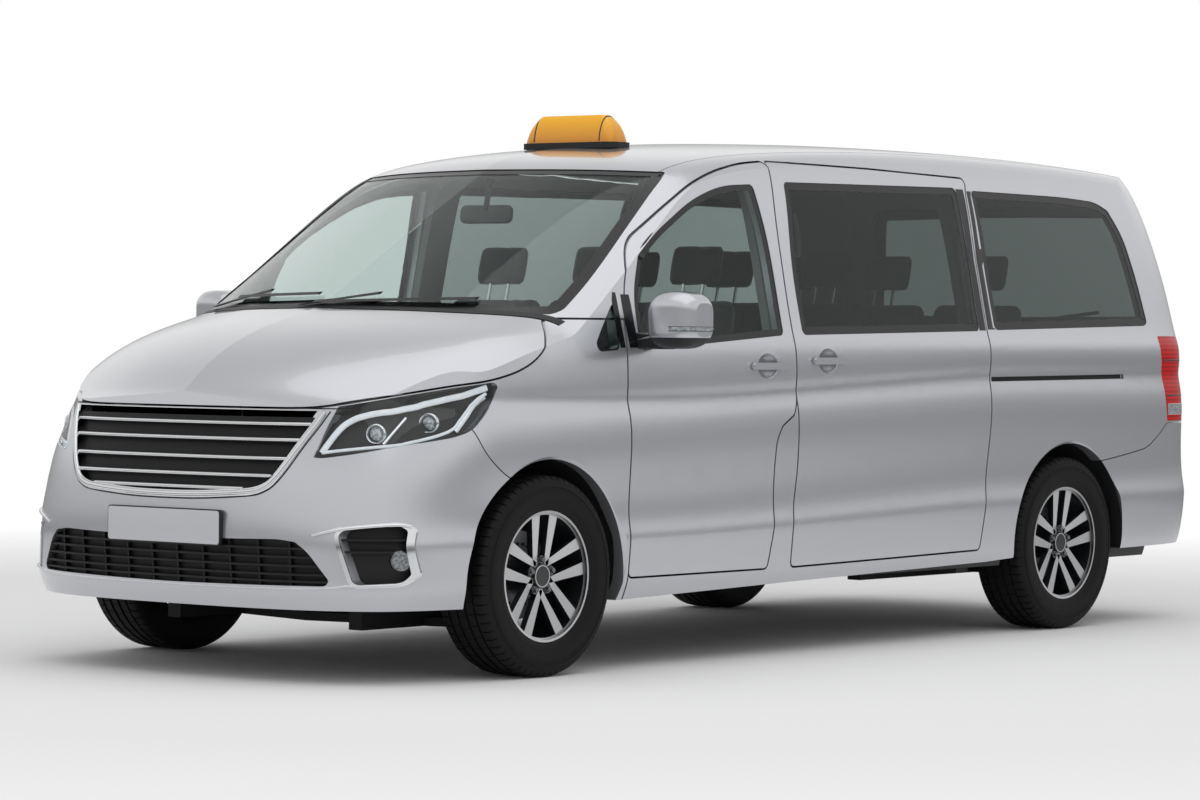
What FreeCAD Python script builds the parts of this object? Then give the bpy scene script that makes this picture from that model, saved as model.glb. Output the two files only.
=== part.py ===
# A people-carrier taxi: hollow body in panels, glass, seats, running gear, turning wheels.
# Frame: +X is the car's left, -Y is forward, +Z is up, origin on the ground under the middle.
import FreeCAD, Part
import math
import os

V = FreeCAD.Vector

# Overall sizes, millimetres
LENGTH = 5140.0
WIDTH = 1928.0
ROOF_HEIGHT = 1890.0
WHEELBASE = 3200.0
FRONT_OVERHANG = 895.0
FRONT_TRACK = 1666.0
REAR_TRACK = 1646.0

# Panels and gaps
DOOR_THICK = 50.0
ROOF_THICK = 36.0
EDGE_ROLL = 68.0
SEAM = 7.0
JOINT_GAP = 4.0
GLASS_THICK = 5.0
GLASS_INSET = 4.0
GLASS_GAP = 0.4
OVERRUN = 400.0
OUTLINE_ROUND = 22.0
SOFT_TURN = 0.5
TRIM_DEPTH = 30.0
TRIM_PROUD = 3.0
PANEL_DEPTH = 24.0
SLAT_DEPTH = 5.0
RAIL_DEPTH = 14.0
ARCH_BEVEL = 22.0

# Grille, lower grille, fog lamps and wipers
FRAME_WIDTH = 24.0
SLAT_HEIGHT = 15.0
TOP_BAND = 38.0
BAR_HEIGHT = 7.0
RIB_SPACING = 118.0
FOG_TRIM_WIDTH = 13.0
FOG_LAMP_R = 34.0
FOG_LAMP_LENGTH = 42.0
FOG_LAMP_TURN = 30.0
WIPER_LIFT = 5.0
WIPER_THICK = 9.0
HANDLE_LIFT = 6.0
HANDLE_THICK = 12.0
HANDLE_BOWL = (20.0, 60.0, 46.0)

# Wheels, on their own axis
TYRE_R = 340.0
TYRE_WIDTH = 225.0
TYRE_WIDEST_R = 294.0
TREAD_WIDTH = 178.0
TYRE_BEAD_R = 222.0
RIM_WALL = 8.0
RIM_WIDTH = 196.0
SPOKE_THICK = 24.0
SPOKE_COUNT = 5
SPOKE_SETBACK = 12.0
SPOKE_DISH = 16.0
SPOKE_SLOT = (36.0, 50.0)
SPOKE_WIDTH = (14.0, 44.0)
LIP_DEPTH = 10.0
HUB_R = 66.0
HUB_CAP_R = 42.0
HUB_CAP_DEPTH = 9.0
DISC_R = 150.0
DISC_THICK = 26.0
SPINDLE_R = 30.0
SPINDLE_FIT = 0.05
SPINDLE_LENGTH = 110.0

# Arches, liners and steering
ARCH_R = 395.0
LINER_R = 404.0
LINER_THICK = 4.0
LINER_INNER_X = 520.0
LINER_FOOT_Z = 300.0
KINGPIN_X = 745.0
KINGPIN_R = 14.0
KNUCKLE_WIDTH = 44.0
KNUCKLE_HEIGHT = 190.0
STRUT_R = 26.0

# Floor, inner walls and running gear
FLOOR_Z = 305.0
FLOOR_THICK = 40.0
SEAT_CLEAR = 0.3
PILLAR_THICK = 34.0
AXLE_TUBE_R = 30.0
ENGINE_SIZE = (460.0, 420.0, 420.0)
SIGN_SIZE = (430.0, 118.0, 102.0)
SIGN_BASE_HEIGHT = 22.0
SIGN_BASE_RIM = 9.0
SEAT_WIDTH = 500.0
CUSHION_DEPTH = 500.0
CUSHION_THICK = 130.0
SEAT_RISE = 364.0
BACK_THICK = 110.0
HEADREST_SIZE = (250.0, 90.0, 170.0)
STEERING_R = 190.0
STEERING_TUBE_R = 15.0
STEERING_SIDES = 8
COLUMN_R = 16.0
COLUMN_LENGTH = 240.0
COLUMN_TILT = 28.0
JACK_X = 740.0
JACK_SIZE = 80.0
JACK_DEPTH = 28.0

# Fixed relations
HALF_WIDTH = WIDTH / 2
NOSE_Y = -LENGTH / 2
FRONT_AXLE_Y = NOSE_Y + FRONT_OVERHANG
REAR_AXLE_Y = FRONT_AXLE_Y + WHEELBASE
WHEEL_Z = TYRE_R
OUTER_X = HALF_WIDTH + OVERRUN

# Body form: each row is height, rise to the rear, half width, nose and tail places, corner sweep.
# Heights are shares of the roof height, widths of the half width, places of the length.
BELT_ROW_SHARES = [
    (0.1058, 0.0000, 0.9388, -0.4903, 0.4864, 0.85),
    (0.1386, 0.0000, 0.9647, -0.4942, 0.4903, 0.85),
    (0.1587, 0.0032, 0.9793, -0.4965, 0.4932, 0.85),
    (0.1746, 0.0063, 0.9855, -0.4973, 0.4961, 0.88),
    (0.2116, 0.0106, 0.9907, -0.4984, 0.4992, 0.92),
    (0.2487, 0.0190, 0.9969, -0.4996, 0.5000, 0.96),
    (0.2603, 0.0212, 0.9959, -0.5000, 0.5000, 0.98),
    (0.2857, 0.0233, 0.9855, -0.5000, 0.4996, 1.00),
    (0.3228, 0.0243, 0.9844, -0.4984, 0.4977, 1.05),
    (0.3810, 0.0243, 0.9927, -0.4951, 0.4951, 1.15),
    (0.4286, 0.0243, 1.0000, -0.4899, 0.4942, 1.25),
    (0.4709, 0.0243, 0.9969, -0.4854, 0.4932, 1.32),
    (0.4894, 0.0254, 0.9886, -0.4835, 0.4928, 1.35),
    (0.5079, 0.0265, 0.9834, -0.4815, 0.4922, 1.36),
    (0.5238, 0.0265, 0.9917, -0.4798, 0.4918, 1.38),
    (0.5556, 0.0180, 0.9938, -0.4770, 0.4912, 1.38),
    (0.5899, 0.0063, 0.9907, -0.4732, 0.4903, 1.38),
    (0.6138, 0.0021, 0.9751, -0.4693, 0.4893, 1.38),
    (0.6878, 0.0000, 0.9461, -0.4545, 0.4868, 1.38),
    (0.7672, 0.0000, 0.9129, -0.4358, 0.4809, 1.38),
    (0.8466, 0.0000, 0.8755, -0.4125, 0.4728, 1.38),
    (0.9101, 0.0000, 0.8382, -0.3911, 0.4646, 1.38),
    (0.9524, 0.0000, 0.7988, -0.3755, 0.4576, 1.38),
    (0.9947, 0.0000, 0.7417, -0.3599, 0.4484, 1.38),
    (1.0370, 0.0000, 0.6639, -0.3463, 0.4377, 1.38),
]
SIDE_STATION_SHARES = [
    -0.3852, -0.3259, -0.2447, -0.1518, -0.0584, 0.0623, 0.1809, 0.2967, 0.3794, 0.4241,
]
NOSE_CORNER_SHARES = [
    (0.0, 0.0), (0.20, 0.0), (0.42, 0.0027), (0.64, 0.0121), (0.82, 0.0311), (0.93, 0.0584),
]
TAIL_CORNER_SHARES = [
    (0.985, -0.0389), (0.95, -0.0152), (0.85, -0.0035), (0.58, -0.0004), (0.25, 0.0), (0.0, 0.0),
]
TOP_LINE_SHARES = [
    (-0.5350, 0.4550), (-0.5060, 0.4790), (-0.4925, 0.4890), (-0.4825, 0.5010), (-0.4747, 0.5159),
    (-0.4611, 0.5503),
    (-0.4358, 0.5899), (-0.4047, 0.6217), (-0.3735, 0.6429), (-0.3570, 0.6540), (-0.3482, 0.6624),
    (-0.3288, 0.6942), (-0.2724, 0.7841), (-0.2218, 0.8646), (-0.1916, 0.9122), (-0.1732, 0.9376),
    (-0.1537, 0.9534), (-0.1245, 0.9672), (-0.0778, 0.9799), (0.0000, 0.9937), (0.0778, 1.0016),
    (0.1751, 1.0048), (0.2918, 1.0016), (0.3891, 0.9926), (0.4475, 0.9820), (0.5136, 0.9672),
]
# Stations across the top, and how much of the edge's roll-off each one has.
TOP_STATION_SHARES = [
    (0.0, 0.0), (0.30, 0.0), (0.55, 0.0), (0.75, 0.0), (0.87, 0.04), (0.94, 0.22),
    (0.985, 0.60), (1.03, 1.10), (1.10, 2.0), (1.21, 3.5), (1.36, 5.6),
]
LAST_BOWED_STATION = 1.10
ROLL_AT_EDGE_SHARE = 0.75
# Taper of the sides in plan: at the nose low down, at the nose high up, at the tail.
TAPER_SHARES = (0.0104, 0.0882, 0.0187)
TAPER_START_SHARES = (-0.0584, 0.1809)
TAPER_RISE_SHARES = (0.37, 0.74)
# How far the side lines dip ahead of the front door, as a share of their rise behind it.
NOSE_DIP_SHARE = 0.5
# Bow of the windscreen and crown of bonnet and roof, at the widest station.
SCREEN_BOW_SHARE = 0.0486
CROWN_SHARES = (0.0159, 0.0291)
BOW_FADE_SHARES = ((-0.321, -0.175, 0.44), (-0.175, -0.039, 0.56))
CROWN_FADE_SHARES = (-0.292, -0.117)
SCREEN_HALF_SHARE = 0.869


def smooth(t):
    t = min(max(t, 0.0), 1.0)
    return t * t * (3 - 2 * t)


def fade(value, start, end):
    return smooth((value - start) / (end - start))


def knots_for(count):
    spans = count - 3
    return [float(i) for i in range(spans + 1)], [4] + [1] * (spans - 1) + [4]


def spline_face(rows):
    """A cubic surface through a net of control points, clamped at its edges."""
    u_knots, u_mults = knots_for(len(rows))
    v_knots, v_mults = knots_for(len(rows[0]))
    surface = Part.BSplineSurface()
    surface.buildFromPolesMultsKnots(rows, u_mults, v_mults, u_knots, v_knots, False, False, 3, 3)
    return surface.toShape()


def taper(y_share, z_share):
    high = fade(z_share, *TAPER_RISE_SHARES)
    low_nose, high_nose, tail = TAPER_SHARES
    nose_start, tail_start = TAPER_START_SHARES
    nose_end = SIDE_STATION_SHARES[0]
    tail_end = SIDE_STATION_SHARES[-1]
    forward = min(max((nose_start - y_share) / (nose_start - nose_end), 0.0), 1.2)
    backward = min(max((y_share - tail_start) / (tail_end - tail_start), 0.0), 1.2)
    narrowing = (low_nose + (high_nose - low_nose) * high) * forward ** 2 + tail * backward ** 2
    return narrowing * HALF_WIDTH


def belt_net(inset):
    """Plan outlines from nose round the side to the tail, stacked from sill to roof."""
    rows = []
    for z_share, rise_share, wide_share, nose_share, tail_share, sweep in BELT_ROW_SHARES:
        z = z_share * ROOF_HEIGHT
        rise = rise_share * ROOF_HEIGHT
        wide = wide_share * HALF_WIDTH - inset
        nose_wide = wide - taper(SIDE_STATION_SHARES[0], z_share)
        tail_wide = wide - taper(SIDE_STATION_SHARES[-1], z_share)
        row = [V(x_share * nose_wide, nose_share * LENGTH + inset + back_share * sweep * LENGTH,
                 z - rise * NOSE_DIP_SHARE) for x_share, back_share in NOSE_CORNER_SHARES]
        for y_share in SIDE_STATION_SHARES:
            run = (y_share - TAPER_START_SHARES[0]) / (TAPER_START_SHARES[1] - TAPER_START_SHARES[0])
            climb = min(max(run, -NOSE_DIP_SHARE), 1.0)
            row.append(V(wide - taper(y_share, z_share), y_share * LENGTH, z + rise * climb))
        row += [V(x_share * tail_wide, tail_share * LENGTH - inset + back_share * LENGTH, z + rise)
                for x_share, back_share in TAIL_CORNER_SHARES]
        rows.append(row)
    return rows


def closed_half(face):
    """The solid between a belt surface and the car's middle plane."""
    edges = face.Edges
    flat_y = [e for e in edges if abs(e.BoundBox.XMax) < 1e-6]
    rest = [e for e in edges if abs(e.BoundBox.XMax) >= 1e-6]
    low = min(rest, key=lambda e: e.BoundBox.ZMin)
    high = max(rest, key=lambda e: e.BoundBox.ZMin)
    caps = []
    lines = []
    for rim in (low, high):
        ends = [v.Point for v in rim.Vertexes]
        line = Part.makeLine(ends[0], ends[1])
        lines.append(line)
        caps.append(Part.Face(Part.Wire(Part.__sortEdges__([rim, line]))))
    middle = Part.Face(Part.Wire(Part.__sortEdges__(flat_y + lines)))
    shell = Part.makeShell([face, middle] + caps)
    shell.sewShape()
    solid = Part.Solid(shell)
    if solid.Volume < 0:
        solid.reverse()
    return solid


def belt_width(y_share, z_share):
    """Half width of the side at a place and height, between the belt's rows."""
    low = BELT_ROW_SHARES[0]
    for high in BELT_ROW_SHARES[1:]:
        if z_share <= high[0]:
            break
        low = high
    blend = min(max((z_share - low[0]) / (high[0] - low[0]), 0.0), 1.0)
    return (low[2] + (high[2] - low[2]) * blend) * HALF_WIDTH - taper(y_share, z_share)


def top_net(drop):
    """Bonnet, screen and roof as heights over the plan, bowed back and rolled off at the sides."""
    low_crown, high_crown = CROWN_SHARES
    columns = []
    for y_share, z_share in TOP_LINE_SHARES:
        bow = SCREEN_BOW_SHARE
        for start, end, part in BOW_FADE_SHARES:
            bow -= part * SCREEN_BOW_SHARE * fade(y_share, start, end)
        crown = low_crown + (high_crown - low_crown) * fade(y_share, *CROWN_FADE_SHARES)
        edge_z_share = z_share - crown - EDGE_ROLL * ROLL_AT_EDGE_SHARE / ROOF_HEIGHT
        edge = belt_width(y_share + bow, edge_z_share) - drop
        columns.append((y_share, z_share, bow, crown, edge))
    rows = []
    for station, roll in TOP_STATION_SHARES:
        row = []
        for y_share, z_share, bow, crown, edge in columns:
            x = station * edge
            out = (min(station, LAST_BOWED_STATION) * edge / HALF_WIDTH / SCREEN_HALF_SHARE) ** 2
            row.append(V(x, (y_share + bow * out) * LENGTH,
                         (z_share - crown * out) * ROOF_HEIGHT - drop - EDGE_ROLL * roll))
        rows.append(row)
    return rows


def side_form(inset):
    """Nose, side and tail as a solid, without the roll-off into bonnet and roof."""
    return closed_half(spline_face(belt_net(inset)))


def top_form(drop):
    """All that lies below bonnet, screen and roof."""
    return spline_face(top_net(drop)).extrude(V(0, 0, -2 * ROOF_HEIGHT))


def half_body(inset, drop, below=None):
    """The left half of the body's form, moved inwards by an inset at the sides and a drop on top."""
    belt = side_form(inset)
    if below is not None:
        belt = belt.cut(below)
    return belt.common(top_form(drop))


def mirrored(shape):
    return shape.mirror(V(0, 0, 0), V(1, 0, 0))


def box(x0, x1, y0, y1, z0, z1):
    return Part.makeBox(x1 - x0, y1 - y0, z1 - z0, V(x0, y0, z0))


def tube(radius, start, end):
    axis = end.sub(start)
    return Part.makeCylinder(radius, axis.Length, start, axis)


def rounded(points, radius):
    """A closed outline with each corner rounded as far as its two sides allow."""
    if radius == 0:
        return Part.makePolygon(points + points[:1])
    edges = []
    count = len(points)
    cuts = []
    for i, point in enumerate(points):
        before = points[i - 1].sub(point)
        after = points[(i + 1) % count].sub(point)
        turn = math.pi - before.getAngle(after)
        reach = 0.45 * min(before.Length, after.Length)
        if turn < 0.02:
            cuts.append((point, None, point))
            continue
        back = reach if turn < SOFT_TURN else min(radius * math.tan(turn / 2), reach)
        start = point + before.normalize() * back
        end = point + after.normalize() * back
        arc_r = back / math.tan(turn / 2)
        middle = start.add(end).multiply(0.5).sub(point)
        if middle.Length < 1e-6:
            cuts.append((point, None, point))
            continue
        far = math.hypot(arc_r, back) - arc_r
        cuts.append((start, point + middle.normalize() * far, end))
    for i, (start, mid, end) in enumerate(cuts):
        if mid is not None:
            edges.append(Part.Arc(start, mid, end).toShape())
        following = cuts[(i + 1) % count][0]
        if end.distanceToPoint(following) > 1e-6:
            edges.append(Part.makeLine(end, following))
    return Part.Wire(edges)


def grown(wire, amount):
    """The same outline moved outwards, or inwards where the amount is negative."""
    if amount == 0:
        return wire
    return wire.makeOffset2D(amount)


def side_outline(shares):
    return [V(0, y * LENGTH, z * ROOF_HEIGHT) for y, z in shares]


def front_outline(shares):
    """Left half outline seen from the front, closed across the middle by its mirror image."""
    left = [V(x * HALF_WIDTH, 0, z * ROOF_HEIGHT) for x, z in shares]
    if left[0].x == 0:
        right = [V(-p.x, 0, p.z) for p in reversed(left[1:-1])]
        return left + right
    return left


def side_prism(shares, growth=0.0, radius=OUTLINE_ROUND, x0=0.0, x1=OUTER_X):
    wire = grown(rounded(side_outline(shares), radius), growth)
    wire.translate(V(x0, 0, 0))
    return Part.Face(wire).extrude(V(x1 - x0, 0, 0))


def front_prism(shares, growth=0.0, radius=OUTLINE_ROUND, y0=NOSE_Y - OVERRUN, y1=0.0):
    wire = grown(rounded(front_outline(shares), radius), growth)
    wire.translate(V(0, y0, 0))
    return Part.Face(wire).extrude(V(0, y1 - y0, 0))


def layer(form, outer, inner, zone):
    """The sheet between two depths under a form, inside a zone; a negative depth lies outside it."""
    return form(outer).common(zone).cut(form(inner).common(zone))


def bands(shares, height, y1):
    """Level bars right across the left half, one for each height."""
    bars = [box(-SEAM, OUTER_X, NOSE_Y - OVERRUN, y1, z * ROOF_HEIGHT - height / 2,
                z * ROOF_HEIGHT + height / 2) for z in shares]
    return Part.makeCompound(bars)


def ellipsoid(centre, radii):
    matrix = FreeCAD.Matrix()
    matrix.scale(*radii)
    ball = Part.makeSphere(1.0).transformGeometry(matrix)
    ball.translate(centre)
    return ball


def write(name, *solids):
    """One file for each piece, its solids side by side."""
    parts = []
    for solid in solids:
        parts += solid.Solids
    parts = [p for p in parts if p.Volume > 50]
    Part.makeCompound(parts).exportStep("parts/" + name + ".step")
    print(name, len(parts), [p.isValid() for p in parts].count(False), round(sum(p.Volume for p in parts) / 1e6, 2))


# Outlines seen from the side: shares of the length and of the roof height
UNDERSIDE_SHARES = [
    (-0.5253, 0.1302), (-0.4086, 0.1302), (-0.2494, 0.1280), (-0.0535, 0.1402), (0.1850, 0.1524),
    (0.2335, 0.1587), (0.3891, 0.1619), (0.5253, 0.1651), (0.5253, 0.0), (-0.5253, 0.0),
]
BONNET_SHARES = [
    (-0.5253, 0.4788), (-0.4747, 0.4788), (-0.4687, 0.4804), (-0.4399, 0.5005), (-0.4021, 0.5196),
    (-0.3765, 0.5296), (-0.3554, 0.5429), (-0.3407, 0.5577), (-0.3288, 0.5778), (-0.3191, 0.6058),
    (-0.3113, 0.6286), (-0.3035, 0.6413), (-0.2800, 0.7600), (-0.5253, 0.7600),
]
FRONT_ZONE_SHARES = [
    (-0.5253, 0.05), (-0.2449, 0.05), (-0.2449, 0.4561), (-0.2459, 0.5196), (-0.2455, 0.5762),
    (-0.2420, 0.6392), (-0.3035, 0.6392), (-0.5253, 0.6392),
]
BUMPER_SHARES = [
    (-0.5253, 0.4788), (-0.4280, 0.4788), (-0.4008, 0.4603), (-0.3959, 0.4418), (-0.3893, 0.4079),
    (-0.3833, 0.3889), (-0.3714, 0.3635), (-0.3500, 0.3400), (-0.3500, 0.05), (-0.5253, 0.05),
]
LAMP_SHARES = [
    (-0.4821, 0.3889), (-0.4737, 0.4508), (-0.4693, 0.4766), (-0.4399, 0.4970), (-0.4021, 0.5160),
    (-0.3765, 0.5260), (-0.3720, 0.5200), (-0.3792, 0.4841), (-0.3959, 0.4429), (-0.4080, 0.4307),
    (-0.4469, 0.4127),
]
FRONT_DOOR_SHARES = [
    (-0.2449, 0.1683), (-0.2449, 0.4561), (-0.2459, 0.5196), (-0.2455, 0.5762), (-0.2414, 0.6460),
    (-0.2350, 0.7159), (-0.2206, 0.7815), (-0.1770, 0.8519), (-0.1471, 0.8942), (-0.1177, 0.9201),
    (-0.0829, 0.9392), (-0.0510, 0.9466), (-0.0599, 0.8317), (-0.0621, 0.6974), (-0.0615, 0.5931),
    (-0.0593, 0.4878), (-0.0642, 0.4593), (-0.0778, 0.4392), (-0.0840, 0.4127), (-0.0850, 0.3746),
    (-0.0850, 0.2603), (-0.0914, 0.1683),
]
SLIDING_DOOR_SHARES = [
    (-0.0642, 0.1683), (-0.0638, 0.2587), (-0.0578, 0.3386), (-0.0593, 0.4878), (-0.0615, 0.5931),
    (-0.0621, 0.6974), (-0.0599, 0.8317), (-0.0510, 0.9466), (0.0700, 0.9430), (0.1936, 0.9344),
    (0.1875, 0.9000), (0.1821, 0.7672), (0.1821, 0.6243), (0.1831, 0.5228), (0.1825, 0.4005),
    (0.1776, 0.2788), (0.1718, 0.1778), (0.0600, 0.1730),
]
FRONT_WINDOW_SHARES = [
    (-0.0774, 0.8995), (-0.0730, 0.7937), (-0.0724, 0.6116), (-0.2313, 0.5825), (-0.2286, 0.6878),
    (-0.2171, 0.7571), (-0.1947, 0.8011), (-0.1510, 0.8640), (-0.1142, 0.8942),
]
QUARTERLIGHT_SHARES = [
    (-0.2802, 0.5788), (-0.2520, 0.5831), (-0.2500, 0.6243), (-0.2470, 0.6820),
]
SLIDING_WINDOW_SHARES = [
    (-0.0399, 0.9069), (0.1761, 0.9138), (0.1728, 0.7407), (0.1720, 0.6222), (-0.0500, 0.6122),
    (-0.0510, 0.7407),
]
REAR_WINDOW_SHARES = [
    (0.1960, 0.9095), (0.3235, 0.9063), (0.3696, 0.8995), (0.3862, 0.8825), (0.4008, 0.8254),
    (0.4100, 0.7302), (0.4150, 0.6429), (0.4100, 0.6360), (0.1930, 0.6243), (0.1920, 0.7407),
]
TAIL_LAMP_SHARES = [
    (0.4270, 0.6138), (0.5253, 0.6138), (0.5253, 0.4312), (0.4401, 0.4312),
]
RAIL_SHARES = [
    (0.1850, 0.5190), (0.3732, 0.5220), (0.3732, 0.5330), (0.1850, 0.5300),
]
# Door handles: place along the car, height, length of the bar
FRONT_HANDLE_SHARES = (-0.0940, 0.5530)
SLIDING_HANDLE_SHARES = (-0.0232, 0.5625)
HANDLE_BAR = (196.0, 25.0)
REAR_BUMPER_SHARES = [
    (0.3250, 0.3450), (0.3619, 0.3556), (0.4099, 0.3735), (0.4280, 0.4021), (0.4401, 0.4265),
    (0.5253, 0.4265), (0.5253, 0.05), (0.3250, 0.05),
]

# Outlines seen from the front or back: shares of the half width and of the roof height
GRILLE_SHARES = [
    (0.0, 0.4760), (0.6141, 0.4760), (0.5965, 0.4497), (0.5622, 0.4159), (0.5187, 0.3730),
    (0.4782, 0.3439), (0.4357, 0.3323), (0.3921, 0.3270), (0.1732, 0.3196), (0.0, 0.3185),
]
LAMP_EDGE_SHARES = [
    (0.5900, 0.3600), (0.6027, 0.3905), (0.6245, 0.4508), (0.6369, 0.4804), (0.6650, 0.5400),
    (1.3000, 0.5400), (1.3000, 0.3600),
]
LOWER_GRILLE_SHARES = [
    (0.0, 0.2487), (0.3185, 0.2508), (0.5187, 0.2529), (0.5809, 0.2487), (0.6224, 0.2328),
    (0.6929, 0.1825), (0.6795, 0.1735), (0.1660, 0.1704), (0.0, 0.1698),
]
FOG_SHARES = [
    (0.7200, 0.2690), (0.8693, 0.2788), (0.8859, 0.2708), (0.8963, 0.1942), (0.8817, 0.1804),
    (0.7680, 0.1767),
]
FOG_DIAGONAL_SHARES = [
    (0.5500, 0.3200), (0.6930, 0.3200), (0.7085, 0.2676), (0.7470, 0.1760), (0.7300, 0.1400),
    (0.5500, 0.1400),
]
FOG_POINT_SHARES = [(0.6300, 0.2601), (0.7280, 0.2772), (0.7400, 0.2712), (0.7180, 0.2690)]
FOG_LAMP_SHARES = (0.8506, -0.4451, 0.2175)
# Heights of the grille's bright slats and of the bars below, from the top down
SLAT_SHARES = (0.4524, 0.4238, 0.3915, 0.3614, 0.3381)
BAR_SHARES = (0.2370, 0.2220, 0.2070, 0.1920, 0.1800)
FOG_RIB_SHARES = (0.2540, 0.2330)
# Wiper arms and blades over the screen: each a thin quadrilateral
WIPER_SHARES = [
    [(-0.1660, 0.6560), (-0.1420, 0.6560), (0.2050, 0.6810), (0.2040, 0.6860)],
    [(-0.0380, 0.6700), (-0.0380, 0.6650), (0.5870, 0.6720), (0.5870, 0.6772)],
    [(-0.7370, 0.6560), (-0.7110, 0.6560), (-0.3870, 0.6860), (-0.3890, 0.6910)],
    [(-0.5880, 0.6790), (-0.5880, 0.6740), (-0.0700, 0.6800), (-0.0700, 0.6852)],
]
WINDSCREEN_SHARES = [
    (0.0, 0.6466), (0.8693, 0.6466), (0.8568, 0.6984), (0.8382, 0.7466), (0.8154, 0.7979),
    (0.7915, 0.8513), (0.7624, 0.8995), (0.7386, 0.9169), (0.5031, 0.9217), (0.2562, 0.9238),
    (0.0, 0.9249),
]
TAILGATE_SHARES = [
    (0.0, 0.3042), (0.7884, 0.3042), (0.8299, 0.3386), (0.8485, 0.4312), (0.8423, 0.6138),
    (0.8195, 0.7037), (0.7780, 0.7937), (0.7261, 0.8942), (0.6929, 0.9365), (0.6535, 0.9524),
    (0.0, 0.9524),
]
TAILGATE_GLASS_SHARES = [
    (0.0, 0.6296), (0.7000, 0.6328), (0.7300, 0.6508), (0.7050, 0.7407), (0.6500, 0.8677),
    (0.6200, 0.8942), (0.0, 0.8995),
]

# Roof sign: place, seat height, and sections as shares of its height, width and depth
SIGN_SHARE = -0.0811
SIGN_SEAT_SHARE = 0.9745
SIGN_SECTION_SHARES = [
    (0.0, 1.0, 1.0), (0.22, 0.97, 0.95), (0.55, 0.90, 0.80), (0.82, 0.80, 0.58), (1.0, 0.70, 0.36),
]
# Door mirror: sections across it as place, fore and aft ends, foot and top; glass and parting planes
MIRROR_SECTION_SHARES = [
    (1.0350, -0.2390, -0.2160, 0.6030, 0.6680), (1.0700, -0.2430, -0.2125, 0.5900, 0.6850),
    (1.1400, -0.2436, -0.2115, 0.5860, 0.6900), (1.2050, -0.2415, -0.2130, 0.5920, 0.6850),
    (1.2350, -0.2340, -0.2160, 0.6080, 0.6690),
]
MIRROR_GLASS_SHARE = -0.2150
MIRROR_PARTING_SHARE = 0.6060
MIRROR_ARM_SHARES = [
    (0.88, -0.2340, 0.5850), (0.88, -0.2170, 0.5850), (0.88, -0.2190, 0.6150), (0.88, -0.2330, 0.6150),
]

# Places along the car that are not on an outline, as shares of the length
COWL_WIDTH_SHARE = 0.900
ROOF_SEAM_SHARE = 0.716
ROOF_ZONE_SHARE = 0.86
COWL_SHARES = ((0.0, -0.3555), (0.50, -0.3395), (0.960, -0.2930))
COWL_DEPTH_SHARE = 0.0070
COWL_FLOOR_SHARE = 0.60
TAILGATE_START_SHARE = 0.4290
BULKHEAD_SHARE = -0.2410
DRIVER_SHARE = 0.44
JACK_SHARES = (-0.2060, 0.1970)
DASH_SHARES = [
    (-0.3420, 0.6050), (-0.2380, 0.6030), (-0.2100, 0.5790), (-0.2030, 0.5300), (-0.2180, 0.4400),
    (-0.2320, 0.3900), (-0.2320, 0.5600), (-0.3420, 0.5700),
]
DOOR_HINGE_SHARES = (0.9990, -0.24485)
FRONT_SEAT_SHARE = -0.0660
MIDDLE_SEAT_SHARE = 0.1030
REAR_SEAT_SHARE = 0.3090


def arch_cut(axle_y):
    return tube(ARCH_R, V(0, axle_y, WHEEL_Z), V(OUTER_X, axle_y, WHEEL_Z))


def cowl_prism(back):
    """Everything ahead of the curved line where the bonnet meets the screen."""
    points = [V(x * HALF_WIDTH, y * LENGTH + back, 0) for x, y in COWL_SHARES]
    curve = Part.Arc(*points).toShape()
    start, end = points[0], points[-1]
    front = NOSE_Y - OVERRUN
    corner_out = V(OUTER_X, end.y, 0)
    lines = [(end, corner_out), (corner_out, V(OUTER_X, front, 0)),
             (V(OUTER_X, front, 0), V(0, front, 0)), (V(0, front, 0), start)]
    wire = Part.Wire([curve] + [Part.makeLine(a, b) for a, b in lines])
    return Part.Face(wire).extrude(V(0, 0, 2 * ROOF_HEIGHT))


def cowl_band(front, back):
    """The curved strip between bonnet and screen."""
    strip = cowl_prism(back).cut(cowl_prism(front))
    return strip.common(box(-SEAM, COWL_WIDTH_SHARE * HALF_WIDTH, NOSE_Y, 0,
                            COWL_FLOOR_SHARE * ROOF_HEIGHT, ROOF_HEIGHT))


def arch_bevel(axle_y):
    """A cone that turns the arch's edge back from the side."""
    start = V(HALF_WIDTH - ARCH_BEVEL, axle_y, WHEEL_Z)
    return Part.makeCone(ARCH_R, ARCH_R + ARCH_BEVEL, ARCH_BEVEL, start, V(1, 0, 0))


def handle(place, cover, feet):
    """A pull handle over a dished recess: returns the bar with its feet, and the bowl to cut."""
    y = place[0] * LENGTH
    z = place[1] * ROOF_HEIGHT
    long, tall = HANDLE_BAR
    outline = [V(0, y - long / 2, z - tall / 2), V(0, y + long / 2, z - tall / 2),
               V(0, y + long / 2, z + tall / 2), V(0, y - long / 2, z + tall / 2)]
    bar = Part.Face(rounded(outline, tall / 2.2)).extrude(V(OUTER_X, 0, 0)).common(cover)
    for end in (-1, 1):
        foot_y = y + end * (long / 2 - tall / 2)
        foot = box(0, OUTER_X, foot_y - tall / 3, foot_y + tall / 3, z - tall / 3, z + tall / 3)
        bar = bar.fuse(foot.common(feet))
    x = (belt_width(place[0], place[1]))
    return bar, ellipsoid(V(x, y, z), HANDLE_BOWL)


def both(half):
    """A piece that crosses the middle: one half fused with its mirror image."""
    whole = half.fuse(mirrored(half))
    return whole.removeSplitter()


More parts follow.
